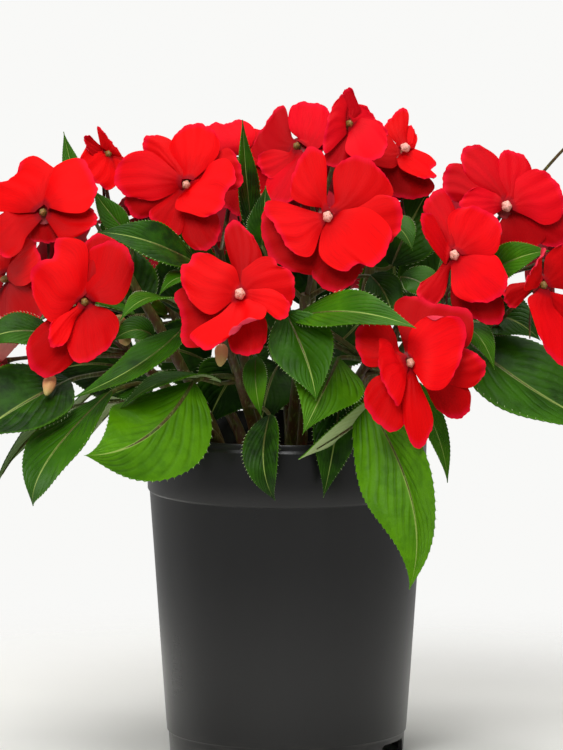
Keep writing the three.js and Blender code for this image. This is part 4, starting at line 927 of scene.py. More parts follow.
def petal_finish(name, colours, face, deep, edge):
    """Velvety, with fine rays from the throat, painted shade on the rear petals and towards the throat, and a
    rim that turns towards pink, partly its own colour and partly a painted highlight.
    """
    paint = Paint(name, Specular_IOR_Level=0.06, Sheen_Weight=0.03, Sheen_Roughness=0.4,
                  Sheen_Tint=(*colours.petal_sheen, 1))
    across, along = paint.map()
    tone = paint.tone()
    spread = paint.vector(across * 15, along * 0.9, tone * 5)
    rays = paint.grain(spread, 4, 4, 0.6)
    cloud = paint.grain(paint.place(), 70, 2)
    red = paint.mix((tone + (cloud - 0.5) * 0.5).smooth(0.0, 1.0), face, deep)
    red = paint.mix(rays.smooth(0.4, 0.75) * 0.22, red, colours.petal_shade)
    # painted shade: the rear petals are darkened, the rearmost most
    red = paint.mix(paint.carried("layer") * 0.75, red, colours.petal_shade)
    # painted shade towards the throat
    red = paint.mix((1 - along.smooth(0.1, 0.6)) * 0.45, red, colours.petal_shade)
    # the rim: partly the petal's own pinker edge, partly a painted highlight
    red = paint.mix(along.smooth(0.88, 1.0) * 0.7, red, edge)
    red = paint.mix(1 - along.smooth(0.03, 0.14), red, colours.throat)
    pearls = paint.cells(paint.place(), 1500)
    paint.relief(rays * 0.6 + pearls * 0.25, 0.0003, 0.4)
    return paint.done(Base_Color=red, Roughness=0.5 + cloud * 0.15)


def eye_finish(colours):
    """The column in the throat: green at its neck, cream and pink at its head."""
    paint = Paint("bloom_eye", Specular_IOR_Level=0.4)
    height = paint.tone()
    spots = paint.grain(paint.place(), 900, 2)
    colour = paint.mix(height.smooth(0.15, 0.5), colours.eye_neck, colours.eye_head)
    colour = paint.mix(spots.smooth(0.52, 0.66) * 0.7, colour, colours.eye_spot)
    colour = paint.mix(paint.carried("layer"), colour, colours.throat)
    paint.relief(spots, 0.0004, 0.5)
    return paint.done(Base_Color=colour, Roughness=0.5)


def stalk_finish(colours):
    """Fleshy stalks, green flushed with red, faintly ribbed along their length. Their colours are darkened as
    painted shade.
    """
    paint = Paint("stalk", Specular_IOR_Level=0.4)
    flush = paint.grain(paint.place(), 130, 3)
    streaks = paint.grain(paint.stretched(paint.place(), (1, 1, 0.15)), 900, 2)
    share = (paint.tone() + (flush - 0.5) * 0.9).smooth(0.1, 0.9)
    colour = paint.mix(share, colours.stem_green, colours.stem_red)
    colour = paint.mix(streaks.smooth(0.5, 0.75) * 0.3, colour, colours.rib_tip)
    paint.relief(streaks, 0.0003, 0.5)
    return paint.done(Base_Color=colour, Roughness=0.38 + flush * 0.15)


def bud_finish(colours):
    """Buds: blush over pale green, with lines from end to end."""
    paint = Paint("bud", Specular_IOR_Level=0.35)
    flush = paint.grain(paint.place(), 240, 3)
    share = (paint.tone() + (flush - 0.5) * 0.6).smooth(0.0, 1.0)
    colour = paint.mix(share, colours.bud_green, colours.bud_blush)
    paint.relief(flush, 0.0006, 0.6)
    return paint.done(Base_Color=colour, Roughness=0.55)


def hair_finish(colours):
    """The pale bristles on the teeth of the leaves."""
    paint = Paint("leaf_bristle", Specular_IOR_Level=0.4)
    shade = paint.grain(paint.place(), 300, 2)
    return paint.done(Base_Color=paint.mix(shade, colours.bristle, colours.rib_tip), Roughness=0.45)


def pot_finish(colours):
    """Satin black plastic with faint flow marks and a dusty foot."""
    paint = Paint("pot_plastic", Specular_IOR_Level=0.45)
    place = paint.place()
    flow = paint.grain(paint.stretched(place, (1, 1, 0.2)), 24, 4, 0.6)
    scuff = paint.grain(paint.stretched(place, (1, 1, 6)), 60, 4, 0.7)
    height = Amount(paint, paint.node("ShaderNodeSeparateXYZ", {}, {0: place}).outputs[2])
    dust = (1 - height.smooth(0.0, 0.02)) * scuff.smooth(0.45, 0.7)
    black = paint.mix(flow.smooth(0.3, 0.75), colours.pot_black, colours.pot_worn)
    black = paint.mix(dust * 0.35, black, colours.pot_dust)
    fine = paint.grain(place, 1400, 2)
    paint.relief(fine * 0.35 + flow * 0.65, 0.00025, 0.35)
    return paint.done(Base_Color=black, Roughness=0.24 + flow * 0.1 + scuff.smooth(0.5, 0.8) * 0.05)


def mix_finish(colours):
    """Damp peat, nearly black, with paler fibres."""
    paint = Paint("potting_mix", Specular_IOR_Level=0.2)
    place = paint.place()
    lumps = paint.grain(place, 160, 5, 0.65)
    fibres = paint.grain(paint.stretched(place, (1, 4, 2)), 420, 3)
    colour = paint.mix(lumps.smooth(0.35, 0.7), colours.mix_dark, colours.mix_brown)
    colour = paint.mix(fibres.smooth(0.62, 0.74) * 0.5, colour, colours.mix_fibre)
    paint.relief(lumps * 0.7 + fibres * 0.3, 0.0015, 0.8)
    return paint.done(Base_Color=colour, Roughness=0.88)


# What a user would change

def length_property(name, text, millimetres):
    """A length, in metres for the user and given here in millimetres."""
    return bpy.props.FloatProperty(name=name, description=text, default=millimetres * MM,
                                   subtype="DISTANCE", unit="LENGTH", min=0)


def colour_property(name, text, *rgb):
    """A colour, given here as in a picture, 0 to 255."""
    return bpy.props.FloatVectorProperty(name=name, description=text, default=tint(*rgb), size=3,
                                         subtype="COLOR", min=0, max=1)


class PlantSizes(bpy.types.PropertyGroup):
    """Sizes of the finer shapes."""
    petal_thick: length_property("Petal", "Thickness of a petal", 0.4)
    petal_ruffle: length_property("Ruffle", "Height of the ruffles at a petal's edge", 0.55)
    blade_thick: length_property("Blade", "Thickness of a leaf blade", 0.5)
    tooth_depth: length_property("Teeth", "Depth of the teeth on the widest leaves", 0.7)
    vein_relief: length_property("Quilting", "Height of the blade between the veins", 0.7)
    bristle: length_property("Bristles", "Length of the bristles on the teeth", 1.5)
    stem_radius: length_property("Stem", "Radius of a stem at its foot", 3.2)
    lump: length_property("Lumps", "Height of the lumps of the potting mix", 2.2)


class PlantColours(bpy.types.PropertyGroup):
    """Colours of the finishes."""
    petal_scarlet: colour_property("Scarlet", "Most petals", 240, 2, 4)
    petal_crimson: colour_property("Crimson", "The cooler petals", 222, 4, 28)
    # partly the rim's own colour, partly a painted highlight along it
    petal_rim_and_highlight: colour_property("Rim", "The edge of a petal", 232, 14, 50)
    # the fine lines of a petal, and also the painted shade on the rear petals and towards the throat
    petal_shade: colour_property("Rays", "The fine lines of a petal", 150, 0, 4)
    petal_back: colour_property("Back", "The back of a petal", 222, 58, 78)
    petal_sheen: colour_property("Sheen", "The bloom of light on a petal", 255, 150, 160)
    throat: colour_property("Throat", "The petals close to the eye", 150, 8, 20)
    faded_face: colour_property("Faded face", "The face of the faded bloom", 238, 140, 132)
    faded_back: colour_property("Faded back", "The back of the faded bloom", 226, 156, 144)
    eye_head: colour_property("Eye", "The head of the column", 246, 176, 160)
    eye_neck: colour_property("Eye neck", "The neck of the column", 120, 96, 40)
    eye_spot: colour_property("Eye spots", "Pollen marks on the column", 176, 106, 60)
    leaf_light: colour_property("Young leaf", "The youngest leaves", 84, 140, 0)
    leaf_mid: colour_property("Leaf", "Most leaves", 48, 96, 0)
    # also the painted shade in the sunken veins
    leaf_dark: colour_property("Old leaf", "The oldest leaves, and the veins", 16, 42, 2)
    under_light: colour_property("Underside", "The underside of a young leaf", 178, 198, 138)
    under_dark: colour_property("Old underside", "The underside of an old leaf", 96, 126, 74)
    rib_tip: colour_property("Rib", "The rib towards the tip", 164, 184, 96)
    rib_base: colour_property("Rib base", "The rib where the stalk joins it", 150, 82, 34)
    bristle: colour_property("Bristle", "The bristles on the teeth", 222, 230, 200)
    # the stalks' own green and red, both darkened as painted shade for the inside of the plant
    stem_green: colour_property("Stem", "Green of the stalks", 62, 86, 24)
    stem_red: colour_property("Stem flush", "Red of the stalks", 86, 30, 20)
    bud_green: colour_property("Bud", "The green of a bud", 206, 190, 116)
    bud_blush: colour_property("Bud blush", "The blush of a bud", 224, 142, 96)
    pot_black: colour_property("Pot", "The pot's plastic", 8, 8, 9)
    pot_worn: colour_property("Pot marks", "Flow marks in the plastic", 14, 14, 15)
    pot_dust: colour_property("Dust", "Dust round the foot", 92, 88, 82)
    mix_dark: colour_property("Mix", "Damp potting mix", 20, 15, 12)
    mix_brown: colour_property("Mix lumps", "Drier lumps of the mix", 54, 38, 27)
    mix_fibre: colour_property("Fibres", "Fibres in the mix", 112, 82, 54)
    floor: colour_property("Floor", "The floor", 241, 240, 235)


# Pieces

POT_SIDES = 144
POT_RINGS = [
    # the floor's underside, and the foot
    (6, 10), (60.4, 10), (60.6, 9.4), (60.6, 0.6), (61.0, 0), (62.2, 0), (62.6, 0.5), (63.4, 11.8),
    # the step over the foot, and the wall
    (63.6, 12.7), (64.3, 13.4), (66.6, 45), (68.8, 78), (71.1, 112), (73.2, 141.6), (73.35, 142.6),
    # the collar
    (73.9, 143.1), (74.3, 143.9), (74.65, 158), (74.95, 170.8), (74.75, 171.9), (74.1, 172.6),
    # the lip
    (73.95, 173.4), (73.8, 175.4), (73.5, 176), (72.7, 176), (72.4, 175.5),
    # the inside, and the floor
    (71.9, 146), (71.6, 144.6), (67.4, 80), (63.2, 14.5), (61.4, 12.1), (60.2, 12), (6, 12),
]
POT_EDGE = 0.25
FOOT_RADIUS = 62.6
ARCHES = 4
FIRST_ARCH = -24  # degrees round from +X
ARCH_DEEP, ARCH_WIDE, ARCH_TOP, ARCH_BELOW = 30, 26, 10, 5
ARCH_SPLAY = 6  # how much further its sides are out at its bottom
ARCH_ROUND = 2.4
DRAIN_RING, DRAIN_RADIUS, DRAIN_SIDES = 47, 6, 32
DRAIN_MIDDLE, DRAIN_DEEP = 11, 10


class PLANT_OT_pot(bpy.types.Operator):
    """Makes the nursery pot: a turned wall with a deep collar, drains and an arched foot"""
    bl_idname = "plant.pot"
    bl_label = "Nursery pot"

    def execute(self, context):
        pot = turn_up("pot_shell", POT_SIDES, POT_RINGS, closed=True)
        for arch in range(ARCHES):
            angle = math.radians(FIRST_ARCH + 360 / ARCHES * arch)
            cut_away(pot, self.arch(angle))
            cut_away(pot, self.drain(angle))
        apply_modifier(pot, "BEVEL", width=POT_EDGE * MM, segments=2, angle_limit=math.radians(50),
                       limit_method="ANGLE", use_clamp_overlap=True)
        smooth_shading(pot, 38)
        wear(pot, [pot_finish(context.scene.plant_colours)])
        finish_piece(pot, "pot_plastic", "pot")
        return {"FINISHED"}

    @staticmethod
    def arch(angle):
        """The opening that an arch leaves in the foot, wider at the floor than at its top."""
        clear_selection()
        bpy.ops.mesh.primitive_cube_add(size=1, location=(0, 0, 0))
        block = bpy.context.object
        bpy.ops.object.mode_set(mode="EDIT")
        bpy.ops.transform.resize(value=(ARCH_DEEP * MM, ARCH_WIDE * MM, (ARCH_TOP + ARCH_BELOW) * MM))
        bpy.ops.transform.translate(value=(FOOT_RADIUS * MM, 0, (ARCH_TOP - ARCH_BELOW) / 2 * MM))
        bpy.ops.object.mode_set(mode="OBJECT")
        for vertex in block.data.vertices:
            if vertex.co.z < 0:
                vertex.co.y += math.copysign(ARCH_SPLAY * MM, vertex.co.y)
        block.data.transform(Matrix.Rotation(angle, 4, "Z"))
        apply_modifier(block, "BEVEL", width=ARCH_ROUND * MM, segments=4, limit_method="ANGLE")
        return block

    @staticmethod
    def drain(angle):
        """The bore of a drain hole."""
        clear_selection()
        x, y = DRAIN_RING * math.cos(angle), DRAIN_RING * math.sin(angle)
        bpy.ops.mesh.primitive_cylinder_add(
            vertices=DRAIN_SIDES, radius=DRAIN_RADIUS * MM, depth=DRAIN_DEEP * MM,
            location=(x * MM, y * MM, DRAIN_MIDDLE * MM))
        bpy.ops.object.transform_apply(location=True)
        return bpy.context.object


MIX_SIDES = 120
MIX_RINGS = [(61.2, 12.8), (64.0, 55), (67.3, 105), (70.6, 155.6)]
MIX_RADIUS = MIX_RINGS[-1][0]
MIX_STEPS = 34
MIX_FLAT = 157  # the height of its top before it is shaped
MIX_SHAPED = 155  # points above this height are shaped
MIX_DROP = 2.6  # how much lower the mix is at the wall
MIX_SLOPE = (58, 71)  # how far out it goes down to the wall
MIX_LUMPS = [(1, 0.07), (0.6, 0.19), (0.35, 0.5)]  # share and fineness of its layers of noise
CRUMBS = 900
CRUMB_REACH = 67
CRUMB_SIZES = [0.5, 0.7, 0.9, 1.3, 1.9]


class PLANT_OT_mix(bpy.types.Operator):
    """Makes the potting mix: a lumpy fill with crumbs on it"""
    bl_idname = "plant.potting_mix"
    bl_label = "Potting mix"

    def execute(self, context):
        lump = context.scene.plant_sizes.lump / MM
        top = [(MIX_RADIUS * (1 - k / MIX_STEPS), MIX_FLAT) for k in range(1, MIX_STEPS)]
        fill = turn_up("mix_fill", MIX_SIDES, MIX_RINGS + top, closed=False)
        for vertex in fill.data.vertices:
            if vertex.co.z > MIX_SHAPED * MM:
                vertex.co.z = self.height(vertex.co.x / MM, vertex.co.y / MM, lump) * MM
        whole = joined("mix_fill", [fill, self.crumbs(lump)])
        smooth_shading(whole, 55)
        wear(whole, [mix_finish(context.scene.plant_colours)])
        finish_piece(whole, "potting_mix", "soil")
        return {"FINISHED"}

    @staticmethod
    def height(x, y, lump):
        """The height of the mix, lower at the wall and heaped a little round the stems."""
        edge = float(smooth(math.hypot(x, y), *MIX_SLOPE))
        place = Vector((x, y, 0))
        rough = sum(share * noise.noise(place * fine) for share, fine in MIX_LUMPS)
        return SOIL_TOP - 0.4 - MIX_DROP * edge + lump * (1 - 0.5 * edge) * rough

    def crumbs(self, lump):
        """Loose crumbs on the mix, each a flattened, turned copy of one lump."""
        clear_selection()
        bpy.ops.mesh.primitive_ico_sphere_add(subdivisions=1, radius=1)
        model = bpy.context.object
        corners = np.array([v.co for v in model.data.vertices])
        faces = np.array([p.vertices for p in model.data.polygons])
        bpy.data.objects.remove(model)
        grain = random.Random(7)
        points, triangles = [], []
        for index in range(CRUMBS):
            turn, far = grain.uniform(0, 2 * math.pi), CRUMB_REACH * math.sqrt(grain.random())
            x, y = far * math.cos(turn), far * math.sin(turn)
            size = grain.choice(CRUMB_SIZES)
            spin = Matrix.Rotation(grain.uniform(0, 6), 3, "Z")
            spin = spin @ Matrix.Rotation(grain.uniform(-1, 1), 3, "X")
            squash = np.array([grain.uniform(0.7, 1.5), grain.uniform(0.6, 1.1), grain.uniform(0.4, 0.8)])
            jitter = np.array([[grain.uniform(0.75, 1.2)] for _ in corners])
            shape = (corners * jitter * squash * size) @ np.array(spin).T
            points.append(shape + (x, y, self.height(x, y, lump) + 0.25 * size))
            triangles.append(faces + index * len(corners))
        mesh = bpy.data.meshes.new("crumbs")
        mesh.from_pydata(np.concatenate(points) * MM, [], np.concatenate(triangles).tolist())
        return new_object("crumbs", mesh)


HUB_BACK = -2.8  # the back of a bloom's hub, along its axis
BLOOM_SEAT = HUB_BACK + 1.5  # the end of its stalk
BLOOM_STALK_BACK = (BLOOM_SEAT, -22, -34)
BLOOM_STALK_RADII = np.array([*np.linspace(1.35, 1.05, 12), 1.2, 1.6, 2.2, 2.6])
BUD_STALK_BACK = (-3, -20, -30)
BUD_STALK_RADII = np.linspace(1.0, 0.8, 12)
BUD_RADIUS, BUD_HALF_LONG = 3.4, 6.4
BUD_FINISH = 1
SPUR_REACH = 26
SPUR_RADII = np.linspace(1.5, 0.4, 12)
STEM_STEPS = 40
STEM_TAPER = 0.32
KNOT_HIGH, KNOT_LONG = 0.35, 3.5  # the stem's swelling where a stalk leaves it
LEAF_STALK_STEPS = 9
RIB_REACH, RIB_STEPS = 0.82, 12  # how far along its blade a rib stands out
BRISTLE_FINISH = 2
BRISTLE_FULL = 30  # how wide a leaf is that has bristles of full length
BRISTLE_LEAN = 0.75
BRISTLE_HALF, BRISTLE_THICK, BRISTLE_SUNK = 0.14, 0.2, 0.5


def stalk_behind(axes, line, depths, radii):
    """The line and radii of the stalk of a bloom or bud. depths are where it ends, bends and aims
    for the stem, along the axis of the bloom or bud."""
    end, bend, back = placed([(0, 0, depth) for depth in depths], axes)
    _, start = line.leaves_at(back)
    return arc(start, bend, end, len(radii)), radii


class PLANT_OT_shoots(bpy.types.Operator):
    """Makes the thirteen shoots: toothed, veined leaves, round stalks, spurs and buds"""
    bl_idname = "plant.shoots"
    bl_label = "Leafy shoots"

    def execute(self, context):
        self.sizes, colours = context.scene.plant_sizes, context.scene.plant_colours
        leaf_finishes = [leaf_upper_finish(colours), leaf_under_finish(colours), hair_finish(colours)]
        stalk_finishes = [stalk_finish(colours), bud_finish(colours)]
        self.blank, self.across, rows = blank_sheet("blade_blank", BLADE_ACROSS, TEETH * 2)
        self.along = blade_row(rows)
        self.spread_map()
        for shoot in SHOOTS:
            node = "shoot_" + shoot.name
            line = StemLine(shoot)
            grain = random.Random(node)
            fill = [fill_leaf(line, entry, grain.uniform(*FILL_TONES)) for entry in shoot.fill]
            shapes = [*shoot.leaves, *fill]
            finish_piece(self.leaves(shoot.name, shapes, leaf_finishes), "green_shoot", node)
            finish_piece(self.stalks(shoot, line, shapes, stalk_finishes), "green_shoot", node)
        bpy.data.objects.remove(self.blank)
        return {"FINISHED"}

    def spread_map(self):
        """Moves the blank's map to the uneven rows."""
        mesh = self.blank.data
        for loop, corner in zip(mesh.loops, mesh.uv_layers.active.data):
            corner.uv.y = self.along[loop.vertex_index]

    def leaves(self, name, shapes, finishes):
        """All the blades of a shoot with their bristles."""
        sheets, bristles = [], []
        for index, shape in enumerate(shapes):
            grain = random.Random(f"{name} {index}")
            points = blade_points(shape, self.along, self.across, grain, self.sizes)
            sheets.append(bent_copy(self.blank, points, shape.tone))
            bristles += self.bristles(shape, grain)
        blades = joined("blades", sheets)
        wear(blades, finishes)
        apply_modifier(blades, "SOLIDIFY", thickness=self.sizes.blade_thick, offset=-1, material_offset=1)
        smooth_shading(blades, 50)
        faces = []
        for a in range(0, len(bristles), 4):
            b, c, tip = a + 1, a + 2, a + 3
            faces += [(a, c, b), (a, b, tip), (b, c, tip), (c, a, tip)]
        mesh = bpy.data.meshes.new("bristles")
        mesh.from_pydata(np.array(bristles) * MM, [], faces)
        set_tone(mesh, 1.0)
        cones = new_object("bristles", mesh)
        wear(cones, finishes, BRISTLE_FINISH)
        return joined("leaves_" + name, [blades, cones])

    def bristles(self, shape, grain):
        """Three-sided bristles, four points each, from the tips of the teeth."""
        t = (np.arange(1, TEETH - 1) + TOOTH_LEAN) / TEETH
        at, along, side, up = leaf_frame(shape, t)
        half = half_width(shape.width, t)
        long = self.sizes.bristle / MM * min(1, shape.width / BRISTLE_FULL)
        corners = []
        for sign in (-1, 1):
            edge = at + side * (sign * half)[:, None] + up * (shape.fold * 0.82 * half)[:, None]
            out = unit(side * sign + along * BRISTLE_LEAN)
            for k in range(len(t)):
                reach = long * grain.uniform(0.5, 1.2) * (1.25 - t[k])
                root = edge[k] - out[k] * BRISTLE_SUNK - up[k] * 0.25
                across = np.cross(out[k], up[k]) * BRISTLE_HALF
                tip = root + out[k] * (reach + BRISTLE_SUNK)
                corners += [root + across, root - across, root + up[k] * BRISTLE_THICK, tip]
        return corners

    def stalks(self, shoot, line, shapes, finishes):
        """A shoot's stem, leaf stalks with the ribs they run into, flower stalks, spurs and buds."""
        joints = [line.leaves_at(np.array(shape.base, float)) for shape in shapes]
        blooms = [bloom_frame(bloom.at, bloom.faces) for bloom in BLOOMS if bloom.shoot == shoot.name]
        buds = [bloom_frame(bud[:3], bud[3:]) for bud in shoot.buds]
        runs = [self.leaf_stalk(shape, start) for shape, (_, start) in zip(shapes, joints)]
        parts = [tubes([self.stem(line, joints)], sides=12, tone=0.55), tubes(runs, sides=8, tone=0.42)]
        if blooms:
            runs = [stalk_behind(axes, line, BLOOM_STALK_BACK, BLOOM_STALK_RADII) for axes in blooms]
            parts.append(tubes(runs, sides=8, tone=0.6))
            parts.append(tubes([self.spur(axes) for axes in blooms], sides=6, tone=0.85))
        if buds:
            runs = [stalk_behind(axes, line, BUD_STALK_BACK, BUD_STALK_RADII) for axes in buds]
            parts += [*(self.bud(axes) for axes in buds), tubes(runs, sides=6, tone=0.6)]
        for part in parts:
            wear(part, finishes, BUD_FINISH if part.name.startswith("bud") else 0)
        stalks = joined("stalks_" + shoot.name, parts)
        smooth_shading(stalks, 60)
        return stalks

    def stem(self, line, joints):
        """A stem's line and radii, with a slight knot where each leaf stalk leaves it."""
        share = np.linspace(0, 1, STEM_STEPS)
        thick = self.sizes.stem_radius / MM * (1.04 - STEM_TAPER * share)
        for joint, _ in joints:
            knot = np.exp(-(((share - joint) * line.length / KNOT_LONG) ** 2))
            thick = thick + KNOT_HIGH * knot / max(1, len(joints) / 4)
        return line.at(share), thick

    @staticmethod
    def leaf_stalk(shape, start):
        """The line and radii of a leaf's stalk and of the rib that it runs into under the blade."""
        t = np.linspace(0, RIB_REACH, RIB_STEPS)
        at, along, _, up = leaf_frame(shape, t)
        base = at[0]
        behind = base - along[0] * np.linalg.norm(base - start) * 0.5
        bend = (start + base) / 2 * 0.6 + behind * 0.4
        stalk = arc(start, bend, base - up[0] * 0.5, LEAF_STALK_STEPS + 1)[:-1]
        rib = at - up * (0.55 + 0.5 * (1 - t))[:, None]
        radii = np.concatenate([np.linspace(1.7, 1.15, LEAF_STALK_STEPS), 1.1 * (1 - t) + 0.22])
        return np.concatenate([stalk, rib]), radii * (0.75 + 0.25 * min(1, shape.width / 40))

    @staticmethod
    def spur(axes):
        """The line and radii of the thin spur that curls down behind a bloom."""
        line = placed([(0, 0, BLOOM_SEAT), (0, -0.2 * SPUR_REACH, HUB_BACK - 0.6 * SPUR_REACH),
                       (0, -SPUR_REACH, HUB_BACK - 0.7 * SPUR_REACH)], axes)
        return arc(*line, len(SPUR_RADII)), SPUR_RADII

    @staticmethod
    def bud(axes):
        """A bud, faintly twisted and ribbed."""
        bud, ball = blank_ball("bud", segments=14, rings=10)
        x, y, z = ball.T
        turn = np.arctan2(y, x) + 0.5 * z
        girth = BUD_RADIUS * (1 - 0.28 * z) * (1 + 0.07 * np.cos(5 * turn))
        shape = np.stack([x * girth, y * girth, z * BUD_HALF_LONG + 0.4], axis=-1)
        move_points(bud.data, placed(shape, axes))
        set_tone(bud.data, np.clip(0.75 - 0.5 * z, 0, 1))
        return bud


PETAL_ACROSS, PETAL_ALONG = 30, 18
PETAL_START = 0.04  # how far from the bloom's middle a petal starts, as a share of its reach
PETAL_TONES = (-0.12, 0.16)  # how far a petal's tone may be from its bloom's
EYE_FINISH = 2
KNOB_BACK, KNOB_FRONT = 1.5, 1.4  # its reach behind the petals' roots and in front of them
HUB_SPREAD = 9  # how much wider the hub is than the knob


class PLANT_OT_blooms(bpy.types.Operator):
    """Makes the blooms: layered, ruffled petals round a small column"""
    bl_idname = "plant.blooms"
    bl_label = "Blooms"

    def execute(self, context):
        self.sizes, colours = context.scene.plant_sizes, context.scene.plant_colours
        eye = eye_finish(colours)
        crimson, back = colours.petal_crimson, colours.petal_back
        pink, pale = colours.faded_face, colours.faded_back
        fresh = [petal_finish("petal_face", colours, colours.petal_scarlet, crimson, colours.petal_rim_and_highlight),
                 petal_finish("petal_back", colours, back, crimson, back), eye]
        faded = [petal_finish("faded_face", colours, pink, pale, pale),
                 petal_finish("faded_back", colours, pale, pink, pink), eye]
        self.blank, self.across, along = blank_sheet("petal_blank", PETAL_ACROSS, PETAL_ALONG)
        self.reach = PETAL_START + (1 - PETAL_START) * along
        for bloom in BLOOMS:
            old = bloom.name.startswith("faded")
            whole = self.bloom(bloom, faded if old else fresh)
            finish_piece(whole, "faded_petal" if old else "red_petal", "bloom_" + bloom.name)
        bpy.data.objects.remove(self.blank)
        return {"FINISHED"}

    def bloom(self, bloom, finishes):
        """A bloom's petals with its column."""
        axes = bloom_frame(bloom.at, bloom.faces)
        grain = random.Random("bloom_" + bloom.name)
        front = len(bloom.petals) - 1
        sheets = []
        for order, petal in enumerate(bloom.petals):
            points = petal_points(petal, order, self.reach, self.across, grain, self.sizes)
            sheet = bent_copy(self.blank, placed(points, axes), bloom.tone + grain.uniform(*PETAL_TONES))
            # layer is 1 on the rearmost petal and 0 on the front one; the finish paints shade by it
            set_tone(sheet.data, 1 - order / front, "layer")
            sheets.append(sheet)
        petals = joined("petals", sheets)
        wear(petals, finishes)
        apply_modifier(petals, "SOLIDIFY", thickness=self.sizes.petal_thick, offset=-1, material_offset=1)
        column = self.column(front, axes, bloom.eye)
        wear(column, finishes, EYE_FINISH)
        whole = joined("petals_" + bloom.name, [petals, column])
        smooth_shading(whole, 55)
        return whole

    @staticmethod
    def column(front, axes, age):
        """The knob of joined anthers in the throat, greenish at age 0 and pale at 1, and the dark
        hub under it that closes the gaps between the petals."""
        knob, ball = blank_ball("column", segments=24, rings=18)
        x, y, z = ball.T
        share = (z + 1) / 2
        girth = 1.3 + (0.5 + 1.1 * age) * smooth(share, 0.35, 0.7)
        girth *= 1 + 0.12 * np.cos(5 * np.arctan2(y, x)) * share
        girth += HUB_SPREAD * np.exp(-(((share - 0.08) / 0.07) ** 2))
        long = KNOB_BACK + PETAL_STACK * front + KNOB_FRONT + 2 * age
        shape = np.stack([x * girth, y * girth * 1.15 - 1.2 * share ** 2, share * long - KNOB_BACK], axis=-1)
        move_points(knob.data, placed(shape, axes))
        set_tone(knob.data, share * age)
        set_tone(knob.data, 1 - smooth(share, 0.15, 0.3), "layer")
        return knob


# Stage: a pale floor that fades into the white surround, soft light, and the camera

FLOOR_SIZE = 2.4
FLOOR_SHADE = (0.5, 0.5, 0.48)  # what a little of its colour is mixed with
FLOOR_FADE = (0.2, 0.52)  # how far out it starts to fade and is gone, in metres
SURROUND_COLOUR = (0.985, 0.985, 0.97)
SURROUND_SEEN = 0.96
SURROUND_LIGHT = {"From Min": 0.0, "From Max": 0.35, "To Min": 0.4, "To Max": 0.12}
LAMPS = {  # place and size in metres, and power in watts
    "key": ((-0.6, -1.9, 2.1), 1.4, 56),
    "fill": ((1.5, -1.3, 1.4), 1.4, 8),
    "top": ((0.1, 0.2, 2.2), 1.4, 30),
    "rim": ((-1.9, 0.5, 0.5), 0.8, 10),
}
LAMP_TARGET = Vector((0, 0, 0.22))
CAMERA_TARGET = Vector((-0.0027, 0, 0.204))
CAMERA_DISTANCE = 3.0
CAMERA_TILT = math.radians(7)
SENSOR = 36
PICTURE_HIGH = 750
FOCAL_PIXELS = 5620  # the focal length, in pixels of the picture


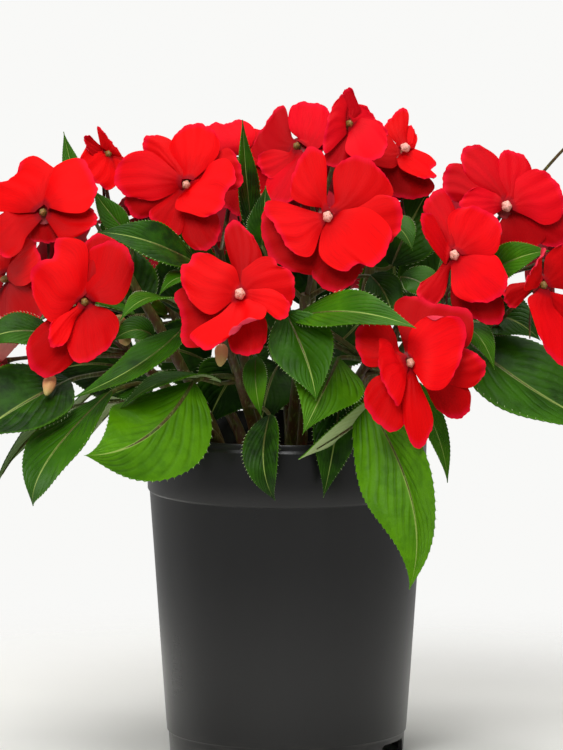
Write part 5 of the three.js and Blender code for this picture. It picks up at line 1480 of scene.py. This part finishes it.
class PLANT_OT_stage(bpy.types.Operator):
    """Makes the floor, the lights, the white surround and the camera"""
    bl_idname = "plant.stage"
    bl_label = "Stage"

    def execute(self, context):
        scene = context.scene
        clear_selection()
        bpy.ops.mesh.primitive_grid_add(x_subdivisions=8, y_subdivisions=8, size=FLOOR_SIZE)
        floor = context.object
        floor.name = floor.data.name = "floor"
        wear(floor, [self.floor_finish(scene.plant_colours)])
        for name, (place, size, power) in LAMPS.items():
            self.lamp(name, place, size, power)
        scene.world = bpy.data.worlds.new("white surround")
        scene.world.use_nodes = True
        self.surround(Graph(scene.world.node_tree))
        scene.view_settings.view_transform = "Standard"
        back = Vector((0, -math.cos(CAMERA_TILT), math.sin(CAMERA_TILT)))
        bpy.ops.object.camera_add(location=CAMERA_TARGET + back * CAMERA_DISTANCE,
                                  rotation=(-back).to_track_quat("-Z", "Y").to_euler())
        camera = context.object
        camera.data.sensor_width = SENSOR
        camera.data.lens = FOCAL_PIXELS * SENSOR / PICTURE_HIGH
        scene.camera = camera
        return {"FINISHED"}

    @staticmethod
    def surround(sky):
        """White where the camera sees it. As a light it is dimmer overhead than from the sides."""
        way = sky.node("ShaderNodeTexCoord", {}, {}).outputs["Generated"]
        up = sky.node("ShaderNodeSeparateXYZ", {}, {0: way}).outputs["Z"]
        light = sky.node("ShaderNodeMapRange", {"interpolation_type": "SMOOTHSTEP"},
                         {"Value": up, **SURROUND_LIGHT}).outputs["Result"]
        seen = sky.node("ShaderNodeLightPath", {}, {}).outputs["Is Camera Ray"]
        strength = sky.node("ShaderNodeMix", {}, {"Factor": seen, "A": light, "B": SURROUND_SEEN})
        background = sky.tree.nodes["Background"]
        sky.feed(background.inputs["Color"], SURROUND_COLOUR)
        sky.feed(background.inputs["Strength"], strength.outputs["Result"])

    @staticmethod
    def lamp(name, place, size, power):
        """A square soft box that looks at the plant."""
        bpy.ops.object.light_add(type="AREA", location=place)
        box = bpy.context.object
        box.name = name
        box.rotation_euler = (LAMP_TARGET - Vector(place)).to_track_quat("-Z", "Y").to_euler()
        box.data.shape = "SQUARE"
        box.data.size = size
        box.data.energy = power

    @staticmethod
    def floor_finish(colours):
        """Pale and matt, fading out with the distance from the plant."""
        paint = Paint("floor", Roughness=0.7, Specular_IOR_Level=0.2)
        place = paint.place()
        far = paint.node("ShaderNodeVectorMath", {"operation": "LENGTH"}, {0: place}).outputs["Value"]
        fade = Amount(paint, far).smooth(*FLOOR_FADE)
        pale = paint.mix(paint.grain(place, 6, 2) * 0.06, colours.floor, FLOOR_SHADE)
        clear = paint.node("ShaderNodeBsdfTransparent", {}, {}).outputs[0]
        blend = paint.node("ShaderNodeMixShader", {}, {0: fade, 1: paint.shader.outputs[0], 2: clear})
        paint.feed(paint.output.inputs["Surface"], blend.outputs[0])
        return paint.done(Base_Color=pale)


class PLANT_PT_panel(bpy.types.Panel):
    """Lists the pieces, sizes and colours of the plant"""
    bl_idname = "PLANT_PT_panel"
    bl_label = "Potted impatiens"
    bl_space_type = "VIEW_3D"
    bl_region_type = "UI"
    bl_category = "Plant"

    def draw(self, context):
        """Shows a button for each piece, then its sizes and colours."""
        layout = self.layout
        for operator in OPERATORS:
            layout.operator(operator.bl_idname)
        for group in (context.scene.plant_sizes, context.scene.plant_colours):
            box = layout.box()
            for key in group.__annotations__:
                box.prop(group, key)


OPERATORS = (PLANT_OT_pot, PLANT_OT_mix, PLANT_OT_shoots, PLANT_OT_blooms, PLANT_OT_stage)
CLASSES = (PlantSizes, PlantColours, *OPERATORS, PLANT_PT_panel)


def register():
    """Registers the classes and hangs the settings on the scene."""
    for cls in CLASSES:
        bpy.utils.register_class(cls)
    bpy.types.Scene.plant_sizes = bpy.props.PointerProperty(type=PlantSizes)
    bpy.types.Scene.plant_colours = bpy.props.PointerProperty(type=PlantColours)


def unregister():
    """Takes the settings and the classes away again."""
    del bpy.types.Scene.plant_colours
    del bpy.types.Scene.plant_sizes
    for cls in reversed(CLASSES):
        bpy.utils.unregister_class(cls)


def main():
    """Makes every piece and the stage."""
    register()
    bpy.ops.plant.pot()
    bpy.ops.plant.potting_mix()
    bpy.ops.plant.shoots()
    bpy.ops.plant.blooms()
    bpy.ops.plant.stage()


if __name__ == "__main__":
    main()
